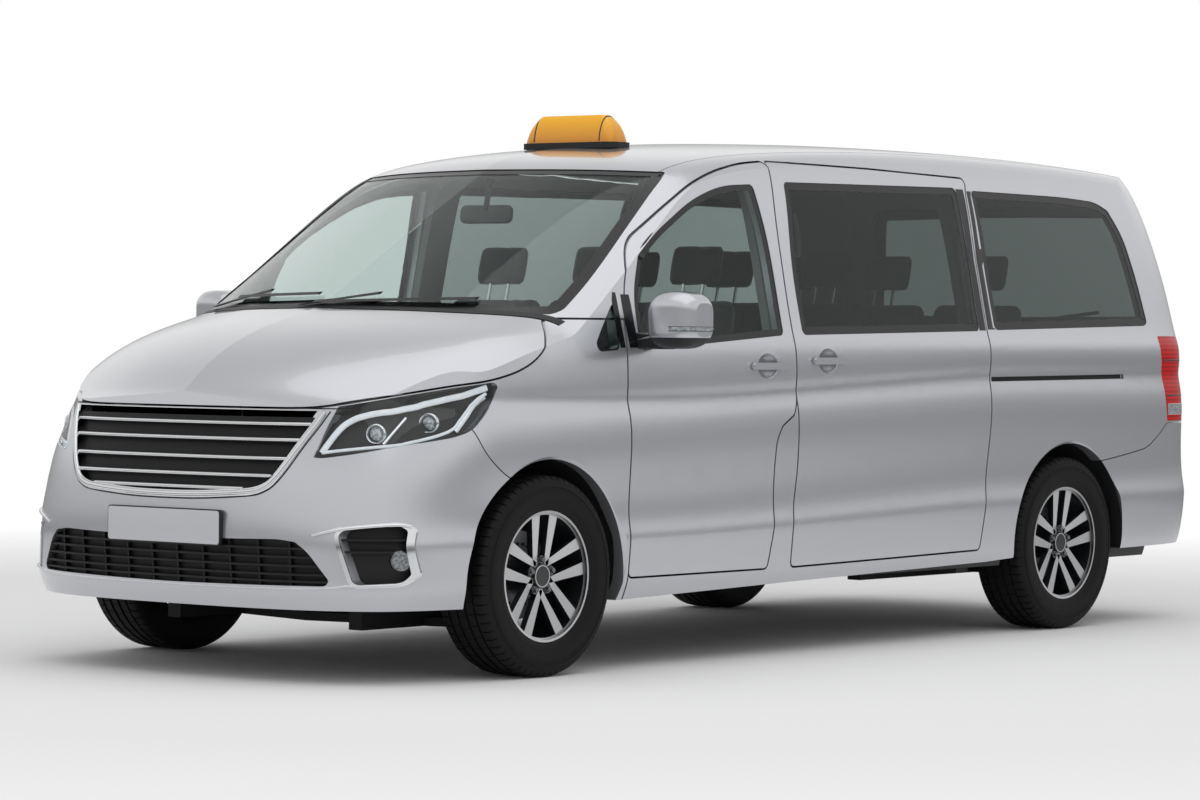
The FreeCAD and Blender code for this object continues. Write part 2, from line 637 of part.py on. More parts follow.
def build_body():
    half_seam = SEAM / 2
    under = side_prism(UNDERSIDE_SHARES, radius=0, x0=-SEAM)
    skin = half_body(0, 0, under).cut(half_body(DOOR_THICK, ROOF_THICK))
    arches = arch_cut(FRONT_AXLE_Y).fuse(arch_cut(REAR_AXLE_Y))
    skin = skin.cut(arches).cut(arch_bevel(FRONT_AXLE_Y)).cut(arch_bevel(REAR_AXLE_Y))
    glass_skin = half_body(GLASS_INSET, GLASS_INSET).cut(
        half_body(GLASS_INSET + GLASS_THICK, GLASS_INSET + GLASS_THICK))
    trim_skin = half_body(GLASS_INSET / 2, GLASS_INSET / 2).cut(half_body(TRIM_DEPTH, TRIM_DEPTH))

    seam_x = ROOF_SEAM_SHARE * HALF_WIDTH
    roof_floor = ROOF_ZONE_SHARE * ROOF_HEIGHT
    roof_box = box(-SEAM, seam_x + SEAM, NOSE_Y - OVERRUN, -NOSE_Y + OVERRUN, roof_floor,
                   2 * ROOF_HEIGHT)

    bonnet_cut = side_prism(BONNET_SHARES, half_seam, 60.0, x0=-SEAM).common(cowl_prism(half_seam))
    bonnet_tool = side_prism(BONNET_SHARES, -half_seam, 60.0).common(cowl_prism(-half_seam))
    bonnet = skin.common(bonnet_tool)
    write("bonnet", both(bonnet))

    lamp_cut = side_prism(LAMP_SHARES, GLASS_GAP, x0=HALF_WIDTH / 2).common(
        front_prism(LAMP_EDGE_SHARES, GLASS_GAP, radius=0))
    lamp = trim_skin.common(side_prism(LAMP_SHARES, -GLASS_GAP / 2, x0=HALF_WIDTH / 2))
    lamp = lamp.common(front_prism(LAMP_EDGE_SHARES, -GLASS_GAP / 2, radius=0))
    write("headlamps", lamp, mirrored(lamp))

    grille_cut = front_prism(GRILLE_SHARES, GLASS_GAP, y1=NOSE_Y / 2)
    lower_cut = front_prism(LOWER_GRILLE_SHARES, GLASS_GAP, y1=NOSE_Y / 2)
    fog_cut = front_prism(FOG_SHARES, GLASS_GAP, y1=NOSE_Y / 2)
    cowl_depth = COWL_DEPTH_SHARE * LENGTH
    cowl_cut = cowl_band(half_seam - JOINT_GAP, cowl_depth)

    door_cut = side_prism(FRONT_DOOR_SHARES, half_seam)
    front_zone = skin.common(side_prism(FRONT_ZONE_SHARES, -half_seam, radius=5.0, x0=-SEAM))
    front_zone = front_zone.cut(bonnet_cut).cut(lamp_cut).cut(cowl_cut)
    bumper_tool = side_prism(BUMPER_SHARES, -JOINT_GAP / 2, radius=20.0, x0=-SEAM)
    bumper = front_zone.common(bumper_tool).cut(grille_cut).cut(lower_cut).cut(fog_cut)
    write("front_bumper", both(bumper))
    quarter_cut = side_prism(QUARTERLIGHT_SHARES, GLASS_GAP)
    bumper_cut = side_prism(BUMPER_SHARES, JOINT_GAP / 2, radius=20.0, x0=-SEAM)
    wing = front_zone.cut(bumper_cut).cut(quarter_cut)
    write("front_wings", wing, mirrored(wing))

    window = FRONT_WINDOW_SHARES
    door = skin.common(side_prism(FRONT_DOOR_SHARES, -half_seam))
    door = door.cut(side_prism(window, GLASS_GAP)).cut(roof_box)
    glass = glass_skin.common(side_prism(window))
    reach = HANDLE_BAR[0]
    zone = box(HALF_WIDTH / 2, OUTER_X, FRONT_HANDLE_SHARES[0] * LENGTH - reach, reach,
               ROOF_HEIGHT / 2, SLIDING_HANDLE_SHARES[1] * ROOF_HEIGHT + reach)
    cover = layer(side_form, -HANDLE_LIFT - HANDLE_THICK, -HANDLE_LIFT, zone)
    feet = layer(side_form, -HANDLE_LIFT - HANDLE_THICK / 2, DOOR_THICK / 2, zone)
    bar, bowl = handle(FRONT_HANDLE_SHARES, cover, feet)
    door = door.cut(bowl).fuse(bar)
    write("door_left", door)
    write("door_right", mirrored(door))
    write("door_glass_left", glass)
    write("door_glass_right", mirrored(glass))

    slide_cut = side_prism(SLIDING_DOOR_SHARES, half_seam)
    slide = skin.common(side_prism(SLIDING_DOOR_SHARES, -half_seam))
    slide = slide.cut(side_prism(SLIDING_WINDOW_SHARES, GLASS_GAP)).cut(roof_box)
    bar, bowl = handle(SLIDING_HANDLE_SHARES, cover, feet)
    slide = slide.cut(bowl).fuse(bar)
    write("sliding_door_left", slide)
    write("sliding_door_right", mirrored(slide))
    side_glass = glass_skin.common(side_prism(SLIDING_WINDOW_SHARES))
    rear_glass = glass_skin.common(side_prism(REAR_WINDOW_SHARES))
    quarter_glass = glass_skin.common(side_prism(QUARTERLIGHT_SHARES))
    write("side_windows", side_glass, mirrored(side_glass), rear_glass, mirrored(rear_glass),
          quarter_glass, mirrored(quarter_glass))

    screen = glass_skin.common(front_prism(WINDSCREEN_SHARES, y1=0.0))
    screen = screen.cut(cowl_prism(cowl_depth + GLASS_GAP))
    screen_cut = front_prism(WINDSCREEN_SHARES, GLASS_GAP, y1=0.0).cut(cowl_prism(cowl_depth))
    write("windscreen", both(screen))

    gate_start = TAILGATE_START_SHARE * LENGTH
    gate_tool = front_prism(TAILGATE_SHARES, -half_seam, y0=gate_start, y1=-NOSE_Y + OVERRUN)
    gate_cut = front_prism(TAILGATE_SHARES, half_seam, y0=gate_start - half_seam,
                           y1=-NOSE_Y + OVERRUN)
    gate_glass_cut = front_prism(TAILGATE_GLASS_SHARES, GLASS_GAP, y0=gate_start / 2,
                                 y1=-NOSE_Y + OVERRUN)
    gate_glass_tool = front_prism(TAILGATE_GLASS_SHARES, y0=gate_start / 2, y1=-NOSE_Y + OVERRUN)
    gate = skin.common(gate_tool).cut(gate_glass_cut)
    write("tailgate", both(gate))
    write("tailgate_glass", both(glass_skin.common(gate_glass_tool)))

    tail_lamp_cut = side_prism(TAIL_LAMP_SHARES, GLASS_GAP, radius=8.0)
    tail_lamp = skin.common(side_prism(TAIL_LAMP_SHARES, radius=8.0)).cut(gate_cut)
    write("tail_lamps", tail_lamp, mirrored(tail_lamp))
    rear_tool = side_prism(REAR_BUMPER_SHARES, -JOINT_GAP / 2, x0=-SEAM)
    rear_cut = side_prism(REAR_BUMPER_SHARES, JOINT_GAP / 2, x0=-SEAM)
    rear_bumper = skin.common(rear_tool).cut(gate_cut)
    write("rear_bumper", both(rear_bumper))

    roof_zone = box(-SEAM, seam_x, NOSE_Y / 2, -NOSE_Y + OVERRUN, roof_floor, 2 * ROOF_HEIGHT)
    roof = skin.common(roof_zone).cut(screen_cut).cut(gate_cut)
    write("roof_panel", both(roof))

    front_cut = side_prism(FRONT_ZONE_SHARES, half_seam, radius=5.0, x0=-SEAM)
    roof_cut = box(-SEAM, seam_x + JOINT_GAP, NOSE_Y / 2 - OVERRUN, -NOSE_Y + OVERRUN,
                   roof_floor, 2 * ROOF_HEIGHT)
    cowl = skin.common(cowl_band(half_seam + JOINT_GAP, cowl_depth - GLASS_GAP))
    write("cowl_panel", both(cowl))
    rail_cut = side_prism(RAIL_SHARES, radius=JOINT_GAP, x0=HALF_WIDTH / 2).cut(
        side_form(RAIL_DEPTH))
    frame = skin.cut(rear_cut).cut(front_cut)
    for tool in (bonnet_cut, cowl_cut, rail_cut, door_cut, slide_cut, gate_cut, tail_lamp_cut, roof_cut,
                 screen_cut, quarter_cut, side_prism(REAR_WINDOW_SHARES, GLASS_GAP)):
        frame = frame.cut(tool)
    write("side_frame_left", frame)
    write("side_frame_right", mirrored(frame))


def build_nose():
    """Chrome frame, slatted grille, lower grille, fog lamps and wipers, all bent to the nose."""
    back = NOSE_Y / 2
    nose = box(0, OUTER_X, NOSE_Y - OVERRUN, FOG_LAMP_SHARES[1] * LENGTH + OVERRUN,
               UNDERSIDE_SHARES[0][1] * ROOF_HEIGHT, ROOF_HEIGHT / 2)
    proud = layer(side_form, -TRIM_PROUD, TRIM_DEPTH, nose)
    panel = layer(side_form, PANEL_DEPTH, TRIM_DEPTH, nose)
    slats = layer(side_form, SLAT_DEPTH, PANEL_DEPTH + TRIM_PROUD, nose)

    opening = front_prism(GRILLE_SHARES, -FRAME_WIDTH, y1=back)
    raised = opening.copy()
    raised.translate(V(0, 0, FRAME_WIDTH - JOINT_GAP / 2))
    frame = proud.common(front_prism(GRILLE_SHARES, y1=back)).cut(opening).cut(raised)
    write("grille_frame", both(frame))

    inside = front_prism(GRILLE_SHARES, -FRAME_WIDTH - GLASS_GAP, y1=back)
    grille = panel.common(inside)
    band_top = GRILLE_SHARES[0][1] * ROOF_HEIGHT
    top_band = box(-SEAM, OUTER_X, NOSE_Y - OVERRUN, back, band_top - TOP_BAND, band_top)
    ribs = slats.common(bands(SLAT_SHARES, SLAT_HEIGHT, back).fuse(top_band)).common(inside)
    write("front_grille", both(grille.fuse(ribs)))

    inside = front_prism(LOWER_GRILLE_SHARES, -GLASS_GAP, y1=back)
    lower = panel.common(inside)
    uprights = []
    x = RIB_SPACING / 2
    while x < LOWER_GRILLE_SHARES[3][0] * HALF_WIDTH:
        uprights.append(box(x - BAR_HEIGHT / 2, x + BAR_HEIGHT / 2, NOSE_Y - OVERRUN, back, 0, ROOF_HEIGHT))
        x += RIB_SPACING
    deep = layer(side_form, SLAT_DEPTH * 2, PANEL_DEPTH + TRIM_PROUD, nose)
    bars = slats.common(bands(BAR_SHARES, BAR_HEIGHT, back)).common(inside)
    cross = deep.common(Part.makeCompound(uprights)).common(inside)
    write("lower_grille", both(lower.fuse(bars).fuse(cross)))

    ring = front_prism(FOG_SHARES, FOG_TRIM_WIDTH, y1=back).cut(
        front_prism(FOG_SHARES, GLASS_GAP, y1=back))
    ring = ring.cut(front_prism(FOG_DIAGONAL_SHARES, radius=0, y1=back))
    trim = layer(side_form, -TRIM_PROUD, -GLASS_GAP, nose)
    trim = trim.common(ring.fuse(front_prism(FOG_POINT_SHARES, radius=0, y1=back)))
    write("fog_trims", trim, mirrored(trim))

    x, y, z = FOG_LAMP_SHARES
    centre = V(x * HALF_WIDTH, y * LENGTH, z * ROOF_HEIGHT)
    turn = math.radians(FOG_LAMP_TURN)
    axis = V(math.sin(turn), -math.cos(turn), 0)
    lamp = tube(FOG_LAMP_R, centre - axis * FOG_LAMP_LENGTH, centre)
    dome_r = FOG_LAMP_R * 2
    dome = Part.makeSphere(dome_r, centre - axis * (dome_r - FOG_LAMP_R / 4))
    lamp = lamp.common(dome)
    write("fog_lamps", lamp, mirrored(lamp))
    inside = front_prism(FOG_SHARES, y1=back)
    bezel = panel.common(inside)
    lines = slats.common(bands(FOG_RIB_SHARES, BAR_HEIGHT, back)).common(inside)
    ring = tube(FOG_LAMP_R + TRIM_PROUD * 2, centre - axis * FOG_LAMP_LENGTH, centre - axis * TRIM_PROUD)
    well = tube(FOG_LAMP_R + GLASS_GAP, centre - axis * 2 * FOG_LAMP_LENGTH, centre + axis * OVERRUN)
    bezel = bezel.fuse(lines).fuse(ring.common(inside)).cut(well)
    write("fog_bezels", bezel, mirrored(bezel))

    arms = None
    screen = box(0, HALF_WIDTH, NOSE_Y, 0, WINDSCREEN_SHARES[0][1] * ROOF_HEIGHT - OVERRUN / 8,
                 WINDSCREEN_SHARES[3][1] * ROOF_HEIGHT)
    lifted = layer(top_form, -WIPER_LIFT - WIPER_THICK, -WIPER_LIFT, screen)
    lifted = lifted.fuse(mirrored(lifted))
    for points in WIPER_SHARES:
        outline = [V(x * HALF_WIDTH, NOSE_Y, z * ROOF_HEIGHT) for x, z in points]
        strip = Part.Face(Part.makePolygon(outline + outline[:1])).extrude(V(0, -NOSE_Y, 0))
        piece = strip.common(lifted)
        arms = piece if arms is None else arms.fuse(piece)
    ahead = cowl_prism(COWL_DEPTH_SHARE * LENGTH / 2)
    write("wipers", arms.cut(ahead).cut(mirrored(ahead)))


def build_structure():
    """Floor, bulkhead, door pillars, wheel liners and the dashboard, all inside the skin."""
    room = half_body(DOOR_THICK + SEAM, ROOF_THICK + SEAM)
    liner_room = half_body(DOOR_THICK + SEAT_CLEAR, ROOF_THICK + SEAT_CLEAR)
    tail_y = (TAILGATE_START_SHARE * LENGTH)
    bulkhead_y = BULKHEAD_SHARE * LENGTH
    liner_cut = None
    liners = []
    for axle_y in (FRONT_AXLE_Y, REAR_AXLE_Y):
        middle = V(LINER_INNER_X, axle_y, WHEEL_Z)
        out = V(HALF_WIDTH - DOOR_THICK, axle_y, WHEEL_Z)
        outer_r = LINER_R + LINER_THICK
        hollow = tube(LINER_R, middle + V(LINER_THICK, 0, 0), V(OUTER_X, axle_y, WHEEL_Z))
        block = tube(outer_r, middle, out)
        legs = box(LINER_INNER_X, OUTER_X, axle_y - outer_r, axle_y + outer_r, 0, LINER_FOOT_Z)
        liners.append(block.cut(hollow).cut(legs).common(liner_room))
        clear = tube(outer_r + SEAT_CLEAR, middle - V(SEAT_CLEAR, 0, 0), V(OUTER_X, axle_y, WHEEL_Z))
        liner_cut = clear if liner_cut is None else liner_cut.fuse(clear)
    write("wheel_housings", *(liners + [mirrored(l) for l in liners]))

    floor = liner_room.common(box(-SEAM, OUTER_X, bulkhead_y, tail_y, FLOOR_Z - FLOOR_THICK, FLOOR_Z))
    wall_top = DASH_SHARES[6][1] * ROOF_HEIGHT
    wall = room.common(box(-SEAM, OUTER_X, bulkhead_y, bulkhead_y + FLOOR_THICK,
                           FLOOR_Z - FLOOR_THICK, wall_top))
    pan = floor.fuse(wall).cut(liner_cut)
    for y_share in JACK_SHARES:
        y = y_share * LENGTH
        pad = box(JACK_X - JACK_SIZE / 2, JACK_X + JACK_SIZE / 2, y - JACK_SIZE / 2, y + JACK_SIZE / 2,
                  FLOOR_Z - FLOOR_THICK - JACK_DEPTH, FLOOR_Z - FLOOR_THICK)
        pan = pan.fuse(pad)
    write("floor_pan", both(pan))

    pillar_room = room.cut(half_body(DOOR_THICK + SEAM + PILLAR_THICK, ROOF_THICK + SEAM + PILLAR_THICK))
    back = FRONT_DOOR_SHARES[12][0] * LENGTH
    pillar = pillar_room.common(box(0, OUTER_X, back - 2 * PILLAR_THICK, back + 2 * PILLAR_THICK,
                                    FLOOR_Z, ROOF_HEIGHT))
    back_room = liner_room.cut(half_body(DOOR_THICK + PILLAR_THICK, ROOF_THICK + PILLAR_THICK))
    rear = SLIDING_DOOR_SHARES[11][0] * LENGTH
    rear_pillar = back_room.common(box(0, OUTER_X, rear - 2 * PILLAR_THICK, rear + 2 * PILLAR_THICK,
                                       FLOOR_Z, ROOF_HEIGHT))
    write("door_pillars", pillar, mirrored(pillar), rear_pillar, mirrored(rear_pillar))

    dash_wire = rounded(side_outline(DASH_SHARES), OUTLINE_ROUND)
    wall_room = box(-SEAM, OUTER_X, bulkhead_y - SEAT_CLEAR, bulkhead_y + FLOOR_THICK + SEAT_CLEAR,
                    FLOOR_Z - FLOOR_THICK, wall_top + SEAT_CLEAR)
    dash = room.common(Part.Face(dash_wire).extrude(V(OUTER_X, 0, 0))).cut(wall_room)
    dash = both(dash)
    centre, tilt = steering_place()
    bore = tube(COLUMN_R + SPINDLE_FIT, centre, centre - tilt * COLUMN_LENGTH)
    write("dashboard", dash.cut(bore))


def wheel_pieces(side, axle_y, track):
    """Tyre and rim about an axle's end; side is +1 on the left and -1 on the right."""
    half = TYRE_WIDTH / 2
    bead_half = RIM_WIDTH / 2
    tread_half = TREAD_WIDTH / 2
    profile = [V(-bead_half, TYRE_BEAD_R, 0), V(-half, TYRE_WIDEST_R, 0), V(-tread_half, TYRE_R, 0),
               V(tread_half, TYRE_R, 0), V(half, TYRE_WIDEST_R, 0), V(bead_half, TYRE_BEAD_R, 0)]
    tyre = Part.Face(Part.makePolygon(profile + profile[:1])).revolve(V(0, 0, 0), V(1, 0, 0), 360)
    bead = TYRE_BEAD_R - SEAT_CLEAR
    lip = bead_half
    barrel = [V(-lip, bead, 0), V(lip, bead, 0), V(lip, bead - RIM_WALL, 0),
              V(-lip, bead - RIM_WALL, 0)]
    rim = Part.Face(Part.makePolygon(barrel + barrel[:1])).revolve(V(0, 0, 0), V(1, 0, 0), 360)
    face_x = lip - SPOKE_SETBACK
    spoke_r = bead - RIM_WALL / 2
    dished_x = face_x - SPOKE_DISH
    dish = [V(dished_x, 0, 0), V(dished_x, HUB_R, 0), V(face_x, spoke_r, 0),
            V(face_x - SPOKE_THICK, spoke_r, 0), V(dished_x - SPOKE_THICK, HUB_R, 0),
            V(dished_x - SPOKE_THICK, 0, 0)]
    dish = Part.Face(Part.makePolygon(dish + dish[:1])).revolve(V(0, 0, 0), V(1, 0, 0), 360)
    slot_in, slot_out = SPOKE_SLOT
    width_in, width_out = SPOKE_WIDTH
    spokes = tube(HUB_R, V(-lip, 0, 0), V(lip, 0, 0))
    for i in range(SPOKE_COUNT):
        for lean in (-1, 1):
            plan = [V(-lip, lean * slot_in / 2, 0), V(-lip, lean * slot_out / 2, spoke_r),
                    V(-lip, lean * (slot_out / 2 + width_out), spoke_r),
                    V(-lip, lean * (slot_in / 2 + width_in), 0)]
            spoke = Part.Face(Part.makePolygon(plan + plan[:1])).extrude(V(2 * lip, 0, 0))
            spoke.rotate(V(0, 0, 0), V(1, 0, 0), 360.0 * i / SPOKE_COUNT)
            spokes = spokes.fuse(spoke)
    rim = rim.fuse(dish.common(spokes))
    ring = tube(spoke_r, V(face_x - LIP_DEPTH, 0, 0), V(face_x, 0, 0)).cut(
        tube(spoke_r - LIP_DEPTH, V(-lip, 0, 0), V(lip, 0, 0)))
    rim = rim.fuse(ring)
    rim = rim.fuse(tube(HUB_CAP_R, V(dished_x - SPOKE_THICK, 0, 0), V(dished_x + HUB_CAP_DEPTH, 0, 0)))
    hub_back = -SPINDLE_LENGTH / 2
    rim = rim.fuse(tube(HUB_R, V(hub_back, 0, 0), V(dished_x, 0, 0)))
    rim = rim.fuse(tube(DISC_R, V(hub_back, 0, 0), V(hub_back + DISC_THICK, 0, 0)))
    bore = tube(SPINDLE_R + SPINDLE_FIT, V(-lip, 0, 0), V(dished_x - SPOKE_THICK, 0, 0))
    rim = rim.cut(bore)
    pieces = []
    for piece in (tyre, rim):
        if side < 0:
            piece = mirrored(piece)
        piece.translate(V(side * track / 2, axle_y, WHEEL_Z))
        pieces.append(piece)
    return pieces


def steering_place():
    """Centre of the steering wheel, and its column's direction towards the driver."""
    centre = V(-DRIVER_SHARE * HALF_WIDTH, DASH_SHARES[3][0] * LENGTH + STEERING_R / 2,
               DASH_SHARES[3][1] * ROOF_HEIGHT + STEERING_R / 3)
    tilt = math.radians(COLUMN_TILT)
    return centre, V(0, math.cos(tilt), math.sin(tilt))


def build_running_gear():
    face_x = RIM_WIDTH / 2 - SPOKE_SETBACK
    spindle_end = face_x - SPOKE_DISH - SPOKE_THICK - SEAM
    for name, side, axle_y, track in (("fl", 1, FRONT_AXLE_Y, FRONT_TRACK),
                                      ("fr", -1, FRONT_AXLE_Y, FRONT_TRACK),
                                      ("rl", 1, REAR_AXLE_Y, REAR_TRACK),
                                      ("rr", -1, REAR_AXLE_Y, REAR_TRACK)):
        tyre, rim = wheel_pieces(side, axle_y, track)
        write("tyre_" + name, tyre)
        write("rim_" + name, rim)

    hub_back = FRONT_TRACK / 2 - SPINDLE_LENGTH / 2 - SEAM
    spindle = tube(SPINDLE_R, V(KINGPIN_X, FRONT_AXLE_Y, WHEEL_Z),
                   V(FRONT_TRACK / 2 + spindle_end, FRONT_AXLE_Y, WHEEL_Z))
    half = KNUCKLE_WIDTH / 2
    arm_top = WHEEL_Z - DISC_R - SEAM
    lug_base = WHEEL_Z - DISC_R
    high = WHEEL_Z + KNUCKLE_HEIGHT / 2
    upright = box(KINGPIN_X - half, hub_back, FRONT_AXLE_Y - half, FRONT_AXLE_Y + half, lug_base, high)
    strut_x = FRONT_TRACK / 2 - TYRE_WIDTH / 2 - STRUT_R - SEAM
    bridge = box(strut_x, hub_back, FRONT_AXLE_Y - half, FRONT_AXLE_Y + half,
                 high - STRUT_R, high)
    strut = tube(STRUT_R, V(strut_x, FRONT_AXLE_Y, high - STRUT_R),
                 V(strut_x, FRONT_AXLE_Y, WHEEL_Z + LINER_R - 3 * SEAM))
    arm = box(KINGPIN_X - half, hub_back, FRONT_AXLE_Y, FRONT_AXLE_Y + KNUCKLE_HEIGHT,
              WHEEL_Z - half, WHEEL_Z)
    knuckle = spindle.fuse(upright).fuse(bridge).fuse(strut).fuse(arm)
    pin_bore = tube(KINGPIN_R + SPINDLE_FIT, V(KINGPIN_X, FRONT_AXLE_Y, lug_base - SEAM),
                    V(KINGPIN_X, FRONT_AXLE_Y, lug_base + KNUCKLE_WIDTH))
    knuckle = knuckle.cut(pin_bore)
    write("knuckle_left", knuckle)
    write("knuckle_right", mirrored(knuckle))

    arm_end = KINGPIN_X + half
    wishbone = [V(0, FRONT_AXLE_Y - KNUCKLE_HEIGHT, arm_top), V(arm_end, FRONT_AXLE_Y - half, arm_top),
                V(arm_end, FRONT_AXLE_Y + half, arm_top), V(0, FRONT_AXLE_Y + KNUCKLE_HEIGHT, arm_top)]
    lower_arm = Part.Face(Part.makePolygon(wishbone + wishbone[:1])).extrude(V(0, 0, -AXLE_TUBE_R))
    pin = tube(KINGPIN_R, V(KINGPIN_X, FRONT_AXLE_Y, arm_top - AXLE_TUBE_R / 2),
               V(KINGPIN_X, FRONT_AXLE_Y, lug_base + KNUCKLE_WIDTH - SEAM))
    rail = box(LINER_INNER_X - 4 * AXLE_TUBE_R, LINER_INNER_X - 2 * AXLE_TUBE_R,
               FRONT_AXLE_Y - LINER_R, BULKHEAD_SHARE * LENGTH - SEAT_CLEAR, arm_top - AXLE_TUBE_R,
               WHEEL_Z)
    cross_y = FRONT_AXLE_Y - ENGINE_SIZE[1] / 2
    cross = box(-SEAM, LINER_INNER_X - 3 * AXLE_TUBE_R, cross_y - AXLE_TUBE_R, cross_y + AXLE_TUBE_R,
                WHEEL_Z - AXLE_TUBE_R, WHEEL_Z)
    write("front_axle", both(lower_arm.fuse(pin).fuse(rail).fuse(cross)))

    rear_back = REAR_TRACK / 2 - SPINDLE_LENGTH / 2 - SEAM
    under_floor = FLOOR_Z - FLOOR_THICK - SEAT_CLEAR
    beam_z = under_floor - AXLE_TUBE_R
    beam = tube(AXLE_TUBE_R, V(-SEAM, REAR_AXLE_Y, beam_z), V(rear_back, REAR_AXLE_Y, beam_z))
    carrier = box(rear_back - KNUCKLE_WIDTH, rear_back, REAR_AXLE_Y - half, REAR_AXLE_Y + half,
                  beam_z - AXLE_TUBE_R, WHEEL_Z + 2 * AXLE_TUBE_R)
    rear_spindle = tube(SPINDLE_R, V(rear_back - KNUCKLE_WIDTH, REAR_AXLE_Y, WHEEL_Z),
                        V(REAR_TRACK / 2 + spindle_end, REAR_AXLE_Y, WHEEL_Z))
    trail = box(LINER_INNER_X - 3 * AXLE_TUBE_R, LINER_INNER_X - AXLE_TUBE_R,
                REAR_AXLE_Y - LINER_R - 2 * KNUCKLE_HEIGHT, REAR_AXLE_Y, beam_z - AXLE_TUBE_R,
                under_floor)
    write("rear_axle", both(beam.fuse(carrier).fuse(rear_spindle).fuse(trail)))

    long, wide, tall = ENGINE_SIZE
    engine_y = FRONT_AXLE_Y - wide / 2
    engine = box(-long / 2, long / 2, engine_y - wide / 2, engine_y + wide / 2,
                 WHEEL_Z + SEAT_CLEAR, WHEEL_Z + SEAT_CLEAR + tall)
    write("engine_block", engine)


def seat(width, x, y, places):
    """A row of cushions with leaning backs and headrests, facing forward."""
    solids = []
    lean = math.radians(14)
    for i in range(places):
        middle = x + (i - (places - 1) / 2) * (width + 2 * SEAM)
        base_z = FLOOR_Z + SEAT_RISE
        base = box(middle - width / 3, middle + width / 3, y - CUSHION_DEPTH, y - CUSHION_DEPTH / 4,
                   FLOOR_Z, base_z)
        cushion = box(middle - width / 2, middle + width / 2, y - CUSHION_DEPTH, y + SEAM,
                      base_z, base_z + CUSHION_THICK)
        tall = 4.6 * CUSHION_THICK
        back = box(middle - width / 2, middle + width / 2, 0, BACK_THICK, 0, tall)
        wide, deep, high = HEADREST_SIZE
        post = box(middle - wide / 5, middle + wide / 5, BACK_THICK / 3, BACK_THICK / 3 + deep / 3, tall - SEAM,
                   tall + high / 2)
        rest = box(middle - wide / 2, middle + wide / 2, SEAM, SEAM + deep,
                   tall + high / 4, tall + high * 1.25)
        upright = back.fuse(post).fuse(rest)
        upright.rotate(V(middle, 0, 0), V(1, 0, 0), -math.degrees(lean))
        upright.translate(V(0, y, base_z + CUSHION_THICK / 2))
        solids.append(base.fuse(cushion).fuse(upright).removeSplitter())
    return solids


def build_cabin():
    front_y = FRONT_SEAT_SHARE * LENGTH - 2 * BACK_THICK
    write("driver_seat", *seat(SEAT_WIDTH * 0.96, -HALF_WIDTH * DRIVER_SHARE, front_y, 1))
    write("passenger_seats", *seat(SEAT_WIDTH * 0.9, HALF_WIDTH * 0.29, front_y, 2))
    write("middle_seats", *seat(SEAT_WIDTH * 0.92, 0, MIDDLE_SEAT_SHARE * LENGTH - 2 * BACK_THICK, 3))
    arch_room = tube(LINER_R + 2 * LINER_THICK, V(LINER_INNER_X - LINER_THICK, REAR_AXLE_Y, WHEEL_Z),
                     V(OUTER_X, REAR_AXLE_Y, WHEEL_Z))
    arch_room = arch_room.fuse(mirrored(arch_room))
    rear_row = seat(SEAT_WIDTH * 0.92, 0, REAR_SEAT_SHARE * LENGTH - 2 * BACK_THICK, 3)
    write("rear_seats", *[place.cut(arch_room) for place in rear_row])

    centre, tilt = steering_place()
    side = V(1, 0, 0)
    rim_points = []
    for i in range(STEERING_SIDES):
        turn = 2 * math.pi * (i + 0.5) / STEERING_SIDES
        reach = side * (STEERING_R + STEERING_TUBE_R * math.cos(turn))
        rim_points.append(centre + reach + tilt * (STEERING_TUBE_R * math.sin(turn)))
    ring = Part.Face(Part.makePolygon(rim_points + rim_points[:1])).revolve(centre, tilt, 360)
    boss = tube(STEERING_R / 4, centre - tilt * STEERING_TUBE_R * 3, centre)
    across = V(STEERING_R, 0, 0)
    bar = tube(STEERING_TUBE_R * 0.8, centre - across, centre + across)
    down = V(1, 0, 0).cross(tilt) * -STEERING_R
    stalk = tube(STEERING_TUBE_R * 0.8, centre, centre + down)
    column = tube(COLUMN_R, centre, centre - tilt * (COLUMN_LENGTH - SEAM))
    write("steering_wheel", ring.fuse(boss).fuse(bar).fuse(stalk).fuse(column))


def level_outline(wide, deep, y, z):
    """A rounded rectangle lying level, with the middle of its length at y."""
    points = [V(-wide / 2, y - deep / 2, z), V(wide / 2, y - deep / 2, z),
              V(wide / 2, y + deep / 2, z), V(-wide / 2, y + deep / 2, z)]
    return rounded(points, deep / 3)


def upright_outline(x, y0, y1, z0, z1):
    """A rounded rectangle across the car, for the mirror's sections."""
    points = [V(x, y0, z0), V(x, y1, z0), V(x, y1, z1), V(x, y0, z1)]
    return rounded(points, (y1 - y0) / 3)


